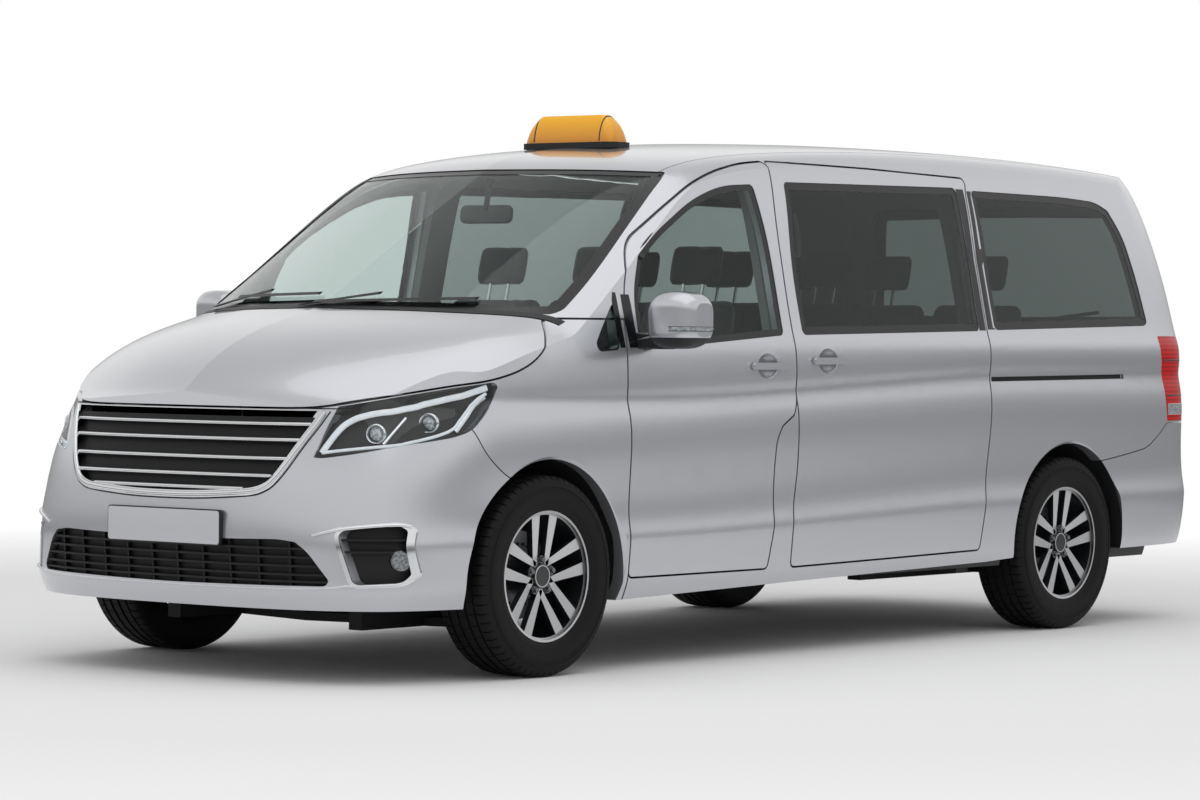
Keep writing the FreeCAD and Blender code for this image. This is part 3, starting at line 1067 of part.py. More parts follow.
def build_outside():
    wide, deep, tall = SIGN_SIZE
    sign_y = SIGN_SHARE * LENGTH
    base_z = SIGN_SEAT_SHARE * ROOF_HEIGHT
    roof = half_body(-SEAT_CLEAR, -SEAT_CLEAR)
    roof = roof.fuse(mirrored(roof))
    rim = 2 * SIGN_BASE_RIM
    foot = Part.Face(level_outline(wide + rim, deep + rim, sign_y, base_z)).extrude(
        V(0, 0, SIGN_BASE_HEIGHT))
    top_z = base_z + SIGN_BASE_HEIGHT
    write("sign_base", foot.cut(roof))
    rings = [level_outline(wide * wide_share, deep * deep_share, sign_y, top_z + rise_share * tall)
             for rise_share, wide_share, deep_share in SIGN_SECTION_SHARES]
    write("taxi_sign", Part.makeLoft(rings, True, False))

    rings = [upright_outline(x * HALF_WIDTH, y0 * LENGTH, y1 * LENGTH, z0 * ROOF_HEIGHT, z1 * ROOF_HEIGHT)
             for x, y0, y1, z0, z1 in MIRROR_SECTION_SHARES]
    housing = Part.makeLoft(rings, True, False)
    glass_y = MIRROR_GLASS_SHARE * LENGTH
    housing = housing.cut(box(0, OUTER_X, glass_y, 0, 0, ROOF_HEIGHT))
    parting = MIRROR_PARTING_SHARE * ROOF_HEIGHT
    shell = housing.cut(box(0, OUTER_X, NOSE_Y, 0, 0, parting + JOINT_GAP / 4))
    foot = housing.cut(box(0, OUTER_X, NOSE_Y, 0, parting - JOINT_GAP / 4, ROOF_HEIGHT))
    inner_x = MIRROR_ARM_SHARES[0][0] * HALF_WIDTH
    arm = [V(inner_x, y * LENGTH, z * ROOF_HEIGHT) for x, y, z in MIRROR_ARM_SHARES]
    arm = Part.Face(rounded(arm, SEAM)).extrude(V(MIRROR_SECTION_SHARES[1][0] * HALF_WIDTH - inner_x, 0, 0))
    body = half_body(-SEAT_CLEAR, -SEAT_CLEAR)
    foot = foot.fuse(arm.cut(body).cut(shell))
    write("mirror_left", shell, foot)
    write("mirror_right", mirrored(shell), mirrored(foot))


if __name__ == '__main__':
    os.makedirs("parts", exist_ok=True)
    build_body()
    build_nose()
    build_structure()
    build_running_gear()
    build_cabin()
    build_outside()
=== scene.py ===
# A people-carrier taxi: paint, glass, lamps, wheels and seats over the car's own panels.
# Metres. +X is the car's left, -Y is forward, +Z is up, origin on the ground under the middle.
import math
import bmesh
import bpy
import numpy as np
from mathutils import Matrix, Vector
from mathutils.bvhtree import BVHTree


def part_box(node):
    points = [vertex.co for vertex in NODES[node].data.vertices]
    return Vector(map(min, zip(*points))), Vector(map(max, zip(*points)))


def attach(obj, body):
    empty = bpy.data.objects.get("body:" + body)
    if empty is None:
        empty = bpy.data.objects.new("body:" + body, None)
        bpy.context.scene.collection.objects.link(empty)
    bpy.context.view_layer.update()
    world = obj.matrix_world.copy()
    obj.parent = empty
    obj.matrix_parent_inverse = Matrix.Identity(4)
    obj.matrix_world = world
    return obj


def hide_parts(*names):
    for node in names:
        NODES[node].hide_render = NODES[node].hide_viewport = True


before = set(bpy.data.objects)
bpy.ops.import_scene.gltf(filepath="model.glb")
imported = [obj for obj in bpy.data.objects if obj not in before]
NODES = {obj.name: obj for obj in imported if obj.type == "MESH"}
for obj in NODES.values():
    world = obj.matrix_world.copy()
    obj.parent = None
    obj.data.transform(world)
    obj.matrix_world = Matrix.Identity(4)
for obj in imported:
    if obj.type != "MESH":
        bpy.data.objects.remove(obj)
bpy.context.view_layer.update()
MM = 0.001
WELD = 0.00001
# How far off a ray starts that looks for a panel, and the even step of most lines laid on them
RAY_START = 4.0
LINE_STEP = 0.012
# How much of a face's normal lies along a direction that it is taken to look in
FACING = 0.35
FACING_DOWN = 0.4
SCREEN_FACING = (0.35, 0.3, 0.62)
DOME_FACING = -0.9
# Half the length of the car's middle line that its nose and tail faces look away from
MIDDLE_LINE = 1.5
# Edges sharper than this many radians are bevelled; an edge line needs more points than this to count
BEVEL_ANGLE = 0.5
LEAST_LOOP = 8
# Bands that the wave texture draws in one unit of its scale
WAVE_REPEATS = 20 / (2 * math.pi)

# Camera, fitted to the photograph's wheels and plate
CAMERA_PLACE = Vector((9.903, -12.369, 1.195))
CAMERA_YAW = 39.286
CAMERA_PITCH = 1.066
CAMERA_ROLL = 0.511
CAMERA_LENS_MM = 124.62

# Light levels: the world, the overhead soft box and the pale floor
WORLD_LEVEL = 0.62
HORIZON_LEVEL = 0.30
HIGH_LEVEL = 0.92
HIGH_START = 0.0
HIGH_END = 0.26
CROWN_START = 0.34
CROWN_END = 0.80
CROWN_SHARE = 0.66
FLOOR_GLOSS = 0.22
TOP_BOX_SIZE = 9.0
TOP_BOX_PLACE = (1.5, -1.5, 6.5)
TOP_BOX_LEAN = math.radians(12)
TOP_BOX_WATTS = 170.0
FLOOR_NEAR = 4.2
FLOOR_FAR = 8.5
FLOOR_SIZE = 120.0

# Wheels: place, radii and widths, as the car's own rims and tyres have them
WHEELS = {"fl": (1, 0.833, -1.675, "knuckle_left"), "fr": (-1, 0.833, -1.675, "knuckle_right"),
          "rl": (1, 0.823, 1.525, "root"), "rr": (-1, 0.823, 1.525, "root")}
WHEEL_HEIGHT = 0.340
HUB_FACE = 0.070
HUB_RADIUS = 0.066
LATHE_MARGIN = 0.0005
LATHE_FACING = 0.85
DISC_FACE = -0.027
DISC_RADIUS = 0.152
BOLT_CIRCLE = 0.0565
SPOKES = 5
ROUND_STEPS = 144
# Tyre section in millimetres, place across and radius, from the outer bead over the tread's middle
CARCASS = [(97, 223), (101, 227), (104.5, 236), (108, 248), (111, 264), (112.4, 280), (112.4, 293),
           (111.3, 304), (109.4, 311), (108.0, 312.6), (108.4, 315.0), (105, 322), (100, 328),
           (94, 331), (84, 333), (62, 333.6), (54, 333.6), (25, 334.2), (14, 333.6)]
CARCASS_BACK = [(0, 328), (60, 327), (84, 323), (99, 306), (103, 280), (98, 250), (91, 226)]
# Tread blocks: how many in a row, and the share of the row that the outer ones fill
SHOULDER_BLOCKS = 64
SHOULDER_FILL = 0.86
RIB_BLOCKS = 48
SHOULDER_BLOCK = [(62, 340), (78, 339.6), (88, 338.5), (94, 336.2), (99, 332.4), (103.4, 326.6),
                  (106.6, 319.6), (107.6, 316.2), (104, 318), (99, 326), (92, 330), (62, 331)]
# Rows inside the shoulders: the blocks' section, the share that they fill, and the row's turn in radians
RIB_ROWS = [([(26, 340), (53, 339.8), (53, 331), (26, 331)], 0.94, 0.02),
            ([(-13, 340), (13, 340), (13, 331), (-13, 331)], 0.96, 0.05)]
# Rings and fine ribs on the sidewall, in millimetres, and the ribs' half turn in degrees
SIDEWALL_RINGS = [(107.6, 249), (112.0, 303)]
RING_SECTION = [(0.6, -1.4), (1.6, 0), (0.4, 1.4), (-1.5, 0)]
SIDEWALL_RIB = [(111.2, 288.5), (113.2, 289.0), (112.2, 300.0), (110.0, 300.0)]
SIDEWALL_RIBS = 150
RIB_HALF_TURN = 0.45
# Wheel pieces: sections in millimetres, as places along the axle and radii, and half a spoke's face;
# sinks, circles and faces are in metres, and the caliper's arc is in degrees
SPOKE_TONGUE = [(19.2, 36.0), (38.0, 36.0), (44.0, 68.5), (20.4, 68.5)]
TONGUE_HIGH = 0.0006
TONGUE_LOW = 0.004
BOLT_WASHER = [(0, 0), (4, 0), (4, 13.5), (0, 14.5)]
BOLT_HEAD = [(4, 0), (12.5, 0), (14.5, 4), (14.5, 8.5), (12, 9.8), (4, 9.8)]
BOLT_SINK = 0.0005
CAP_RING = [(78.6, 34), (79.6, 35), (79.6, 37.5), (78.6, 38.5), (77.0, 36)]
# A flat black spot on the disc at each drilled hole: painted shade inside the hole
DISC_HOLE_SHADE = [(-26.5, 0), (-25.8, 4), (-26.5, 6), (-29, 4)]
HOLE_CIRCLE = 0.105
HOLES = 24
HOLE_START = 0.06
CALIPER = [(-64, 116), (-58, 116), (-58, 158), (-25, 158), (-25, 116), (-14, 116), (-14, 172),
           (-64, 172)]
CALIPER_ARC = (58, 122)

# Headlamp edges in millimetres, from the grille to the wing, low and high
LAMP_LOW = [(581, -2472, 738), (822, -2297, 783), (907, -2097, 816), (914, -2035, 837),
            (906, -1935, 930), (905, -1925, 960)]
LAMP_HIGH = [(614, -2409, 908), (788, -2261, 946), (879, -2067, 982), (893, -1990, 992),
             (904, -1935, 1001), (907, -1922, 990)]
# Lines in the lamp as shares along it and up it, and how deep the housing is behind the lens
GUIDE_LINE = [(0.935, 0.735), (0.80, 0.79), (0.60, 0.835), (0.45, 0.85), (0.28, 0.84), (0.165, 0.79),
              (0.105, 0.68), (0.075, 0.53), (0.050, 0.32), (0.035, 0.15)]
LOW_GUIDE_LINE = [(0.035, 0.15), (0.21, 0.11), (0.45, 0.105), (0.60, 0.12), (0.68, 0.20), (0.73, 0.36),
                  (0.78, 0.50), (0.86, 0.54), (0.925, 0.52)]
OUTER_BAR_LINE = [(0.69, 0.15), (0.74, 0.30), (0.79, 0.43), (0.86, 0.47), (0.92, 0.42)]
DIVIDER_LINE = [(0.325, 0.16), (0.36, 0.34), (0.395, 0.50), (0.44, 0.66)]
# Each strip in the lamp: its line, its width and how deep it lies
LAMP_GUIDES = [(GUIDE_LINE, 0.021, 0.010), (LOW_GUIDE_LINE, 0.010, 0.010)]
LAMP_BARS = [(DIVIDER_LINE, 0.010, 0.014), (OUTER_BAR_LINE, 0.018, 0.016)]
LAMP_STRIP_HIGH = 0.006
# Projectors: where they sit, which way they look, and sections of height and share of their radius
PROJECTORS = [(0.285, 0.42), (0.575, 0.47)]
PROJECTOR_RADIUS = 0.031
PROJECTOR_AIM = (0.45, -1.0, 0.0)
PROJECTOR_RING = [(0, 0.82), (0.016, 0.86), (0.020, 1.0), (0.017, 1.10), (0, 1.14)]
PROJECTOR_LENS = [(0, 0), (0.016, 0), (0.0155, 0.25), (0.013, 0.5), (0.008, 0.72), (0.002, 0.80),
                  (0, 0.80)]
PROJECTOR_SINK = 0.001
# Lamp housing: its depth, its walls' depth at the lens, its shell, and its shares along and up the lamp
LAMP_DEPTH = 0.027
HOUSING_LIP = 0.004
HOUSING_SHELL = 0.002
HOUSING_COLUMNS = 32
HOUSING_START = 0.012
HOUSING_REACH = 0.955
HOUSING_END_SHARE = 0.15
HOUSING_ROW = [(0.035, HOUSING_LIP)] + [(0.06 + 0.88 * i / 10, LAMP_DEPTH) for i in range(11)]
HOUSING_ROW += [(0.965, HOUSING_LIP)]

# Nose trim: beads as widths and heights, and lines as places across and heights
BEAD_SINK = -0.002
BEAD_STEPS = 8
SLAT_BEAD = (0.0125, 0.0055)
FRAME_BEAD = (0.017, 0.006)
FOG_TOP_BEAD = (0.011, 0.005)
FOG_LOW_BEAD = (0.009, 0.004)
LIP_BEAD = (0.007, 0.003)
# A black strip in the gap round the grille's frame, painted shade: width, height and sink
FRAME_GAP_SHADE = (0.006, 0.0012, -0.002)
LIP_LINE = [(0.72, 0.3300), (0.66, 0.3200), (0.40, 0.3140), (0.0, 0.3130)]
# Grille slats: height and half length; the frame's line, and the line outside it of the gap's painted shade
SLATS = [(0.8530, 0.545), (0.8010, 0.520), (0.7399, 0.489), (0.6830, 0.455), (0.6390, 0.350)]
FRAME_LINE = [(0.5800, 0.8940), (0.5630, 0.8500), (0.5300, 0.7860), (0.4890, 0.7100), (0.4520, 0.6600),
              (0.4160, 0.6390), (0.3760, 0.6300), (0.1670, 0.6160), (0.0000, 0.6140)]
FRAME_OUTLINE = [(0.5960, 0.8960), (0.5790, 0.8480), (0.5450, 0.7840), (0.5040, 0.7010), (0.4620, 0.6470),
                 (0.4210, 0.6250), (0.3790, 0.6150), (0.1680, 0.6010), (0.0000, 0.5990)]
# Fog lamp trim: the middle lines of its upper and lower arms
FOG_TOP_LINE = [(0.6150, 0.4930), (0.6950, 0.5140), (0.8350, 0.5320), (0.8580, 0.5230)]
FOG_LOW_LINE = [(0.7130, 0.3300), (0.7420, 0.3285), (0.8400, 0.3350)]
# Sliding door rail: ends along the car and heights of its painted shade strip; black panels between the
# side windows by height
RAIL_LINE = [(0.957, 0.9905), (1.912, 0.9970)]
RAIL_SHADE_SECTION = (0.017, 0.0012, -0.001)
RAIL_STEPS = 70
SHEET_SKIN = 0.001
SHEET_ROWS = 25
SHEET_STEPS = 3
DOOR_BAND = [(1.178, 0.886, 0.928), (1.450, 0.892, 0.927), (1.560, 0.899, 0.938), (1.700, 0.905, 0.954),
             (1.722, 0.907, 0.956)]
FRAME_BAND = [(1.182, 0.946, 0.994), (1.450, 0.947, 0.990), (1.560, 0.960, 0.997), (1.700, 0.976, 1.007),
              (1.716, 0.979, 1.008)]
# Dark sail panels by the mirror, on the door and ahead of its edge, by height
SAIL_BAND = [(1.110, -1.243, -1.197), (1.285, -1.243, -1.197), (1.330, -1.240, -1.215)]
QUARTER_BAND = [(1.110, -1.292, -1.266), (1.270, -1.292, -1.266), (1.300, -1.283, -1.268)]

# Window edges: each pane's border width and body, a border's greatest share of its own edge, its skin,
# and the seal in the gap round it
BORDERS = {"windscreen": (0.045, "root"), "door_glass_left": (0.024, "door_left"),
           "door_glass_right": (0.024, "door_right"), "side_windows": (0.030, "root"),
           "tailgate_glass": (0.055, "tailgate")}
BORDER_SHARE = 0.013
BORDER_SKIN = 0.0008
SEAL_BAND = (0.011, 0.0030, -0.004, -0.0095)

# Blank number plates and their holders: width, height, thickness, corners, and where they sit
PLATE_SIZE = (0.520, 0.111, 0.003)
PLATE_CORNER = 0.010
HOLDER_LIP = 0.004
HOLDER_CORNER = 0.013
HOLDER_DEPTH = 0.014
HOLDER_SET_BACK = 0.002
FRONT_PLATE = Vector((0.015, -2.5790, 0.508))
REAR_PLATE = Vector((0.0, 2.585, 0.905))

# Door mirrors: where the dark arm ends and the foot's top, then the glass: its width, height, corner and
# steps in a corner, its depth and its place
MIRROR_ARM_END = 0.972
MIRROR_FOOT_TOP = 1.1453
MIRROR_FRAME_FACING = 0.8
MIRROR_SHEET = (0.185, 0.128, 0.035, 10)
MIRROR_SHEET_DEPTH = 0.0025
MIRROR_SHEET_HEIGHT = 1.222
MIRROR_SHEET_OUT = 0.012
MIRROR_SHEET_LIFT = 0.0005
# Signal strip: the fan of rays that lays it round the shell, in degrees, and its lens and dark edge
SHELL_FOOT = 1.1
SIGNAL_STEPS = 30
SIGNAL_STEP = 0.004
SIGNAL_CENTRE = (1.08, -1.13, 1.175)
SIGNAL_START = 78
SIGNAL_SWEEP = 92
SIGNAL_RISE = 0.010
SIGNAL_LENS = (0.013, 0.0016, -0.001)
SIGNAL_EDGE = (0.017, 0.0009, -0.001)

# Bands over the sign's ends: their section, where their fan of rays starts, and its slant
SIGN_BAND = (0.006, 0.0008, -0.001)
SIGN_BAND_PLACE = 0.60
SIGN_BAND_FOOT = 0.004
SIGN_FAN = (0.30, 0.62)
SIGN_STEPS = 60
SIGN_STEP = 0.005

# Seats: each row's middle across, a seat's width, the backrest's foot along the car, and how many seats
SEAT_ROWS = {"driver_seat": (-0.42416, 0.480, -0.55924, 1),
             "passenger_seats": (0.27956, 0.450, -0.55924, 2),
             "middle_seats": (0.0, 0.460, 0.30942, 3),
             "rear_seats": (0.0, 0.460, 1.36826, 3)}
SEAT_WIDTH = 0.46
SEAT_PITCH_GAP = 0.014
SEAT_BASE = 0.669
SEAT_FLOOR = 0.305
CUSHION_SIZE = (0.500, 0.130)
BACK_SIZE = (0.110, 0.598)
BACK_LEAN = 14.0
HEADREST_SIZE = (0.250, 0.090, 0.170)
HEADREST_RISE = 0.64
HEADREST_SET_BACK = 0.007
CUSHION_SET_FORWARD = 0.006
# A pad's crown, how square its plan is, and how far its corners are pinched in
CUSHION_FORM = (0.10, 4, 0.05)
BACK_FORM = (0.16, 4, 0.05)
HEADREST_FORM = (0.22, 3, 0.13)
# Padding: voxel size, room left for swelling, cloth pressure and frames, and how far each pad may swell
PAD_VOXEL = 0.014
PAD_ROOM = 0.012
PAD_PRESSURE = 4.0
PAD_FRAMES = 20
SEAT_SWELL = 0.014
HEADREST_SWELL = 0.010
# Seams in each pad's own plan, and the cord's width, height and depth
SEAM_HALF = 0.145
CUSHION_SEAMS = [[(-SEAM_HALF, -0.225), (-SEAM_HALF, 0.21)], [(SEAM_HALF, -0.225), (SEAM_HALF, 0.21)],
                 [(-SEAM_HALF, -0.10), (SEAM_HALF, -0.10)], [(-SEAM_HALF, 0.06), (SEAM_HALF, 0.06)]]
BACK_SEAMS = [[(-SEAM_HALF, -0.27), (-SEAM_HALF, 0.20), (-0.10, 0.27)],
              [(SEAM_HALF, -0.27), (SEAM_HALF, 0.20), (0.10, 0.27)],
              [(-SEAM_HALF, -0.06), (SEAM_HALF, -0.06)], [(-SEAM_HALF, 0.12), (SEAM_HALF, 0.12)]]
SEAM_CORD = (0.006, 0.0022, -0.003)
# Headrest rods and the plinth under each seat
ROD_SECTION = [(-0.01, 0), (0.12, 0), (0.12, 0.0065), (-0.01, 0.0065)]
ROD_PLACES = (-0.045, 0.045)
ROD_SET_BACK = 0.05
ROD_SINK = 0.03
PLINTH_SHARE = 0.66
PLINTH_GAP = 0.002
PLINTH_CORNER = 0.03
PLINTH_DEPTH = 0.36
PLINTH_FORWARD = 0.495

# Steering wheel: centre, tilt of its column, radii, and the sections of its hub and column in millimetres
STEERING_CENTRE = Vector((-0.42416, -0.94842, 1.0650))
STEERING_TILT = 28.0
STEERING_RADIUS = 0.190
STEERING_GRIP = 0.0145
STEERING_HUB = [(-45, 0), (2, 0), (0, 30), (-6, 52), (-16, 62), (-45, 52)]
STEERING_TUBE = [(-232, 0), (-40, 0), (-40, 16), (-232, 16)]
# Its arms: turn in degrees and width, their line from the hub to the rim, and their height and depth
STEERING_ARMS = ((90, 0.024), (-90, 0.024), (180, 0.030))
STEERING_ARM_LINE = [(-0.018, 0, 0.045), (-0.010, 0, 0.11), (-0.002, 0, STEERING_RADIUS)]
STEERING_ARM_SKIN = (0.006, -0.008)

# Fascia: the arc of the hood over the dials, the screen, the vents, and the interior mirror on its stem
HOOD_ARC = (0.16, 0.03)
HOOD_POINTS = 15
HOOD_MIDDLE = -1.30
HOOD_HEIGHT = 1.6
HOOD_SWEEP = 1.4
HOOD_SECTION = (0.16, 0.055, -0.02)
SCREEN_SIZE = (0.250, 0.150, 0.012)
SCREEN_DEPTH = 0.014
SCREEN_PLACE = (0.0, -1.085, 1.055)
SCREEN_LEAN = 0.35
VENT_FIN = (0.150, 0.004, 0.0015)
VENT_DEPTH = 0.018
VENT_FINS = 6
VENT_STEP = 0.011
VENTS = (-0.72, -0.17, 0.17, 0.72)
VENT_PLACE = (-1.062, 0.965)
INNER_MIRROR = (0.240, 0.066, 0.024, 10)
INNER_MIRROR_DEPTH = 0.020
INNER_MIRROR_PLACE = (0.0, -0.935, 1.585)
INNER_MIRROR_LEAN = -0.12
STEM_SECTION = [(0, 0), (0.115, 0), (0.115, 0.020), (0.09, 0.009), (0, 0.011)]
STEM_PLACE = (0.0, -0.930, 1.600)
STEM_TURN = -78

# Strips round each tail lamp, as height and width, and their line in plan: start and reach
REVERSE_LENS = (0.862, 0.046)
TAIL_DIVIDERS = [(0.918, 0.006), (1.062, 0.006)]
TAIL_START = (0.80, 2.6)
TAIL_REACH = (0.15, -0.45)
TAIL_STEPS = 24
TAIL_STRIP_SKIN = (0.0012, -0.001)
TAIL_STRIP_STEP = 0.010
TAIL_STRIP_NEAR = 0.02
TAIL_STRIP_ENDS = 3
# Pieces on the tailgate: ends as places across and heights, steps between them, and section
BRAKE_LIGHT = [(-0.16, 1.735), (0.16, 1.735)]
BRAKE_LIGHT_STEPS = 24
BRAKE_LIGHT_SECTION = (0.022, 0.010, -0.004)
WIPER_ARM = [(0.02, 1.205), (0.44, 1.255)]
WIPER_STEPS = 20
WIPER_LIFT = 0.006
WIPER_SECTION = (0.016, 0.012, 0.0)
GATE_BAR = [(-0.32, 0.985), (0.32, 0.985)]
GATE_BAR_STEPS = 32
GATE_BAR_SECTION = (0.030, 0.012, -0.004)

# Added pieces are shaded smooth up to these angles in degrees, and their rounded edges are this wide
PLAIN_ANGLE = 32
BORDER_ANGLE = 30
STRIP_ANGLE = 40
BEAD_ANGLE = 50
PAD_ANGLE = 70
FINE_BEVEL = 0.001
PLATE_BEVEL = 0.0006
GLASS_BEVEL = 0.0005
CALIPER_BEVEL = 0.002
PLINTH_BEVEL = 0.004
HOOD_BEVEL = 0.008
INNER_MIRROR_BEVEL = 0.003
GATE_BAR_BEVEL = 0.002

# Colours, as seen on the car
SILVER = "BFC1C6"
SILVER_LIGHT = "CBCDD2"
CHROME = "D9DBDD"
POCKET_BLACK = "131416"
PLASTIC_BLACK = "17181A"
SATIN_BLACK = "0C0D0E"
RUBBER = "0D0D0E"
RUBBER_DUST = "191817"
GLASS_CLEAR = "DCE6E4"
GLASS_LIGHT = "CFD9D6"
GLASS_DARK = "858F8D"
FRIT_BLACK = "0B0C0D"
CLOTH_DARK = "2A2D2F"
CLOTH_LIGHT = "414549"
TRIM_GREY = "A8AAA9"
HEADLINER = "C9C9C6"
FASCIA_GREY = "26272A"
CARPET = "1E1F21"
STEEL_GREY = "8C8E91"
CAST_GREY = "56585B"
COATING_BLACK = "18191A"
# The sign's amber, deep at its foot and pale at its top: painted shade and painted light
AMBER_PAINTED_SHADE = "D98B00"
AMBER_PAINTED_LIGHT = "FFBA08"
LAMP_RED = "B30309"
LAMP_RED_DEEP = "7C0105"
GUIDE_WHITE = "F5F8FB"
PLATE_GREY = "C0C1C5"


def linear(code):
    """An sRGB hex colour as the linear colour that a shader takes."""
    values = [int(code[i:i + 2], 16) / 255 for i in (0, 2, 4)]
    return [v / 12.92 if v <= 0.04045 else ((v + 0.055) / 1.055) ** 2.4 for v in values] + [1.0]


def per_metre(size_mm):
    """The texture scale that gives a pattern this many millimetres from one repeat to the next."""
    return 1.0 / (size_mm * MM)


def add(tree, kind, values=None, links=None, **settings):
    """One node with its settings, its fixed inputs and its links."""
    made = tree.nodes.new(kind)
    for name, value in settings.items():
        setattr(made, name, value)
    for name, value in (values or {}).items():
        made.inputs[name].default_value = value
    for name, socket in (links or {}).items():
        tree.links.new(socket, made.inputs[name])
    return made


def material(name, values):
    """A new material: its tree, its surface shader with these inputs, and Object coordinates."""
    made = bpy.data.materials.new(name)
    made.use_nodes = True
    tree = made.node_tree
    tree.nodes.clear()
    shader = add(tree, "ShaderNodeBsdfPrincipled", values)
    add(tree, "ShaderNodeOutputMaterial", links={"Surface": shader.outputs[0]})
    place = add(tree, "ShaderNodeTexCoord").outputs["Object"]
    return made, tree, shader, place


def patterned(tree, shader, pattern, low, high, depth_mm, strength):
    """A pattern that shades the surface between two hex colours and stands this high on it."""
    mix = add(tree, "ShaderNodeMix", {"A": linear(low), "B": linear(high)}, {"Factor": pattern},
              data_type="RGBA")
    tree.links.new(mix.outputs["Result"], shader.inputs["Base Color"])
    bump = add(tree, "ShaderNodeBump", {"Distance": depth_mm * MM, "Strength": strength},
               {"Height": pattern})
    tree.links.new(bump.outputs["Normal"], shader.inputs["Normal"])


def clouded(name, values, size_mm, detail, rough, *colours_and_height):
    """A material whose surface varies in soft spots of about this size in millimetres."""
    made, tree, shader, place = material(name, values)
    spots = add(tree, "ShaderNodeTexNoise",
                {"Scale": per_metre(size_mm), "Detail": detail, "Roughness": rough},
                {"Vector": place}).outputs["Fac"]
    patterned(tree, shader, spots, *colours_and_height)
    return made, tree, shader, spots


def sprayed_metallic():
    """Metallic base coat, sprayed, under clear lacquer: bright flakes and a sharp wet gloss on top."""
    # Real flakes are too fine to show, so they are drawn 1.6 mm wide
    return clouded("sprayed_metallic_silver", {
        "Metallic": 0.78, "Roughness": 0.30, "Coat Weight": 1.0, "Coat Roughness": 0.03, "Coat IOR": 1.5},
        1.6, 1.0, 0.5, SILVER, SILVER_LIGHT, 0.02, 0.2)[0]


def moulded(name, code, rough, grain_mm, grain_depth=0.05, raised="202124"):
    """Moulded ABS, polypropylene or rubber: an even colour broken by a grain, drawn coarse to show."""
    return clouded(name, {"Roughness": rough, "IOR": 1.46}, grain_mm, 3.0, 0.6, code, raised, grain_depth,
                   0.6)[0]


def plated_chrome():
    """Chrome-plated plastic: a bright mirror with the faintest waviness of the plating bath."""
    return clouded("plated_chrome", {"Metallic": 1.0, "Roughness": 0.09}, 18.0, 1.0, 0.5,
                   CHROME, "E2E4E6", 0.02, 0.3)[0]


def turned_alloy():
    """Cast aluminium, its face turned on a lathe and lacquered: bright, with fine cutter marks."""
    return clouded("turned_alloy_face", {
        "Metallic": 0.85, "Roughness": 0.30, "Coat Weight": 0.5, "Coat Roughness": 0.08},
        3.0, 4.0, 0.7, "C3C4C7", "DDDEE0", 0.02, 0.3)[0]


def lacquered_black():
    """Black wheel lacquer over cast aluminium, in the pockets that the lathe doesn't reach."""
    return clouded("black_wheel_lacquer", {"Roughness": 0.3, "Coat Weight": 0.6, "Coat Roughness": 0.1},
                   2.5, 2.0, 0.5, POCKET_BLACK, "202225", 0.05, 0.4)[0]


def tyre_rubber():
    """Carbon-black rubber, vulcanised in a mould: matt, with a trace of road dust in its pores."""
    made, tree, shader, dust = clouded("vulcanised_rubber", {"Roughness": 0.62, "Specular IOR Level": 0.2},
                                       34.0, 4.0, 0.65, RUBBER, RUBBER_DUST, 0.15, 0.3)
    rough = add(tree, "ShaderNodeMapRange", {"To Min": 0.5, "To Max": 0.76}, {"Value": dust})
    tree.links.new(rough.outputs["Result"], shader.inputs["Roughness"])
    return made


def float_glass(name, code, bend=1.22):
    """Laminated float glass, tinted in the melt: flat and clear, with a grey-green cast."""
    return material(name, {
        "Base Color": linear(code), "Roughness": 0.0, "IOR": bend, "Transmission Weight": 1.0})[0]


def clear_lens():
    """Injection-moulded polycarbonate lens, hard-coated: see-through, with a wet gloss on its skin."""
    made, tree, shader, place = material("clear_polycarbonate_lens", {
        "Base Color": linear("EEF2F4"), "Roughness": 0.01, "IOR": 1.06, "Transmission Weight": 1.0,
        "Coat Weight": 1.0, "Coat Roughness": 0.01, "Coat IOR": 1.5})
    flow = add(tree, "ShaderNodeTexNoise", {"Scale": per_metre(90.0), "Detail": 1.0}, {"Vector": place})
    bump = add(tree, "ShaderNodeBump", {"Distance": 0.2 * MM, "Strength": 0.1},
               {"Height": flow.outputs["Fac"]})
    tree.links.new(bump.outputs["Normal"], shader.inputs["Normal"])
    return made


def optic_glass():
    """Pressed optical glass of a projector lens or fog lamp: clear and thick, its moulded cells painted
    dark to bright as glints.
    """
    made, tree, shader, place = material("pressed_optic_glass", {
        "Roughness": 0.03, "IOR": 1.5, "Coat Weight": 1.0, "Coat Roughness": 0.02, "Metallic": 0.35})
    # Moulded optic cells, each dark at its middle and bright at its edge: painted glints
    glint_cells = add(tree, "ShaderNodeTexVoronoi", {"Scale": per_metre(9.0)}, {"Vector": place})
    patterned(tree, shader, glint_cells.outputs["Distance"], "5E6468", "D9DEE2", 0.6, 0.5)
    return made


def lit_guide():
    """Opal light-guide acrylic: white through its depth, glowing a little as in daylight running."""
    return clouded("opal_light_guide", {
        "Roughness": 0.25, "Emission Color": linear(GUIDE_WHITE), "Emission Strength": 0.2},
        30.0, 1.0, 0.5, "C4C9CE", "DDE2E6", 0.1, 0.2)[0]


def red_lens():
    """Red acrylic lamp lens with level optic ribs moulded behind it, 17 mm apart."""
    made, tree, shader, place = material("red_acrylic_lens", {
        "Roughness": 0.12, "Specular IOR Level": 0.2, "Coat Weight": 0.15, "Coat Roughness": 0.02,
        "Emission Color": linear("A00004"), "Emission Strength": 0.35})
    ribs = add(tree, "ShaderNodeTexWave", {"Scale": per_metre(16.965) / WAVE_REPEATS, "Distortion": 0.0},
               {"Vector": place}, bands_direction="Z", wave_profile="SIN")
    patterned(tree, shader, ribs.outputs["Fac"], LAMP_RED_DEEP, LAMP_RED, 0.5, 0.3)
    return made


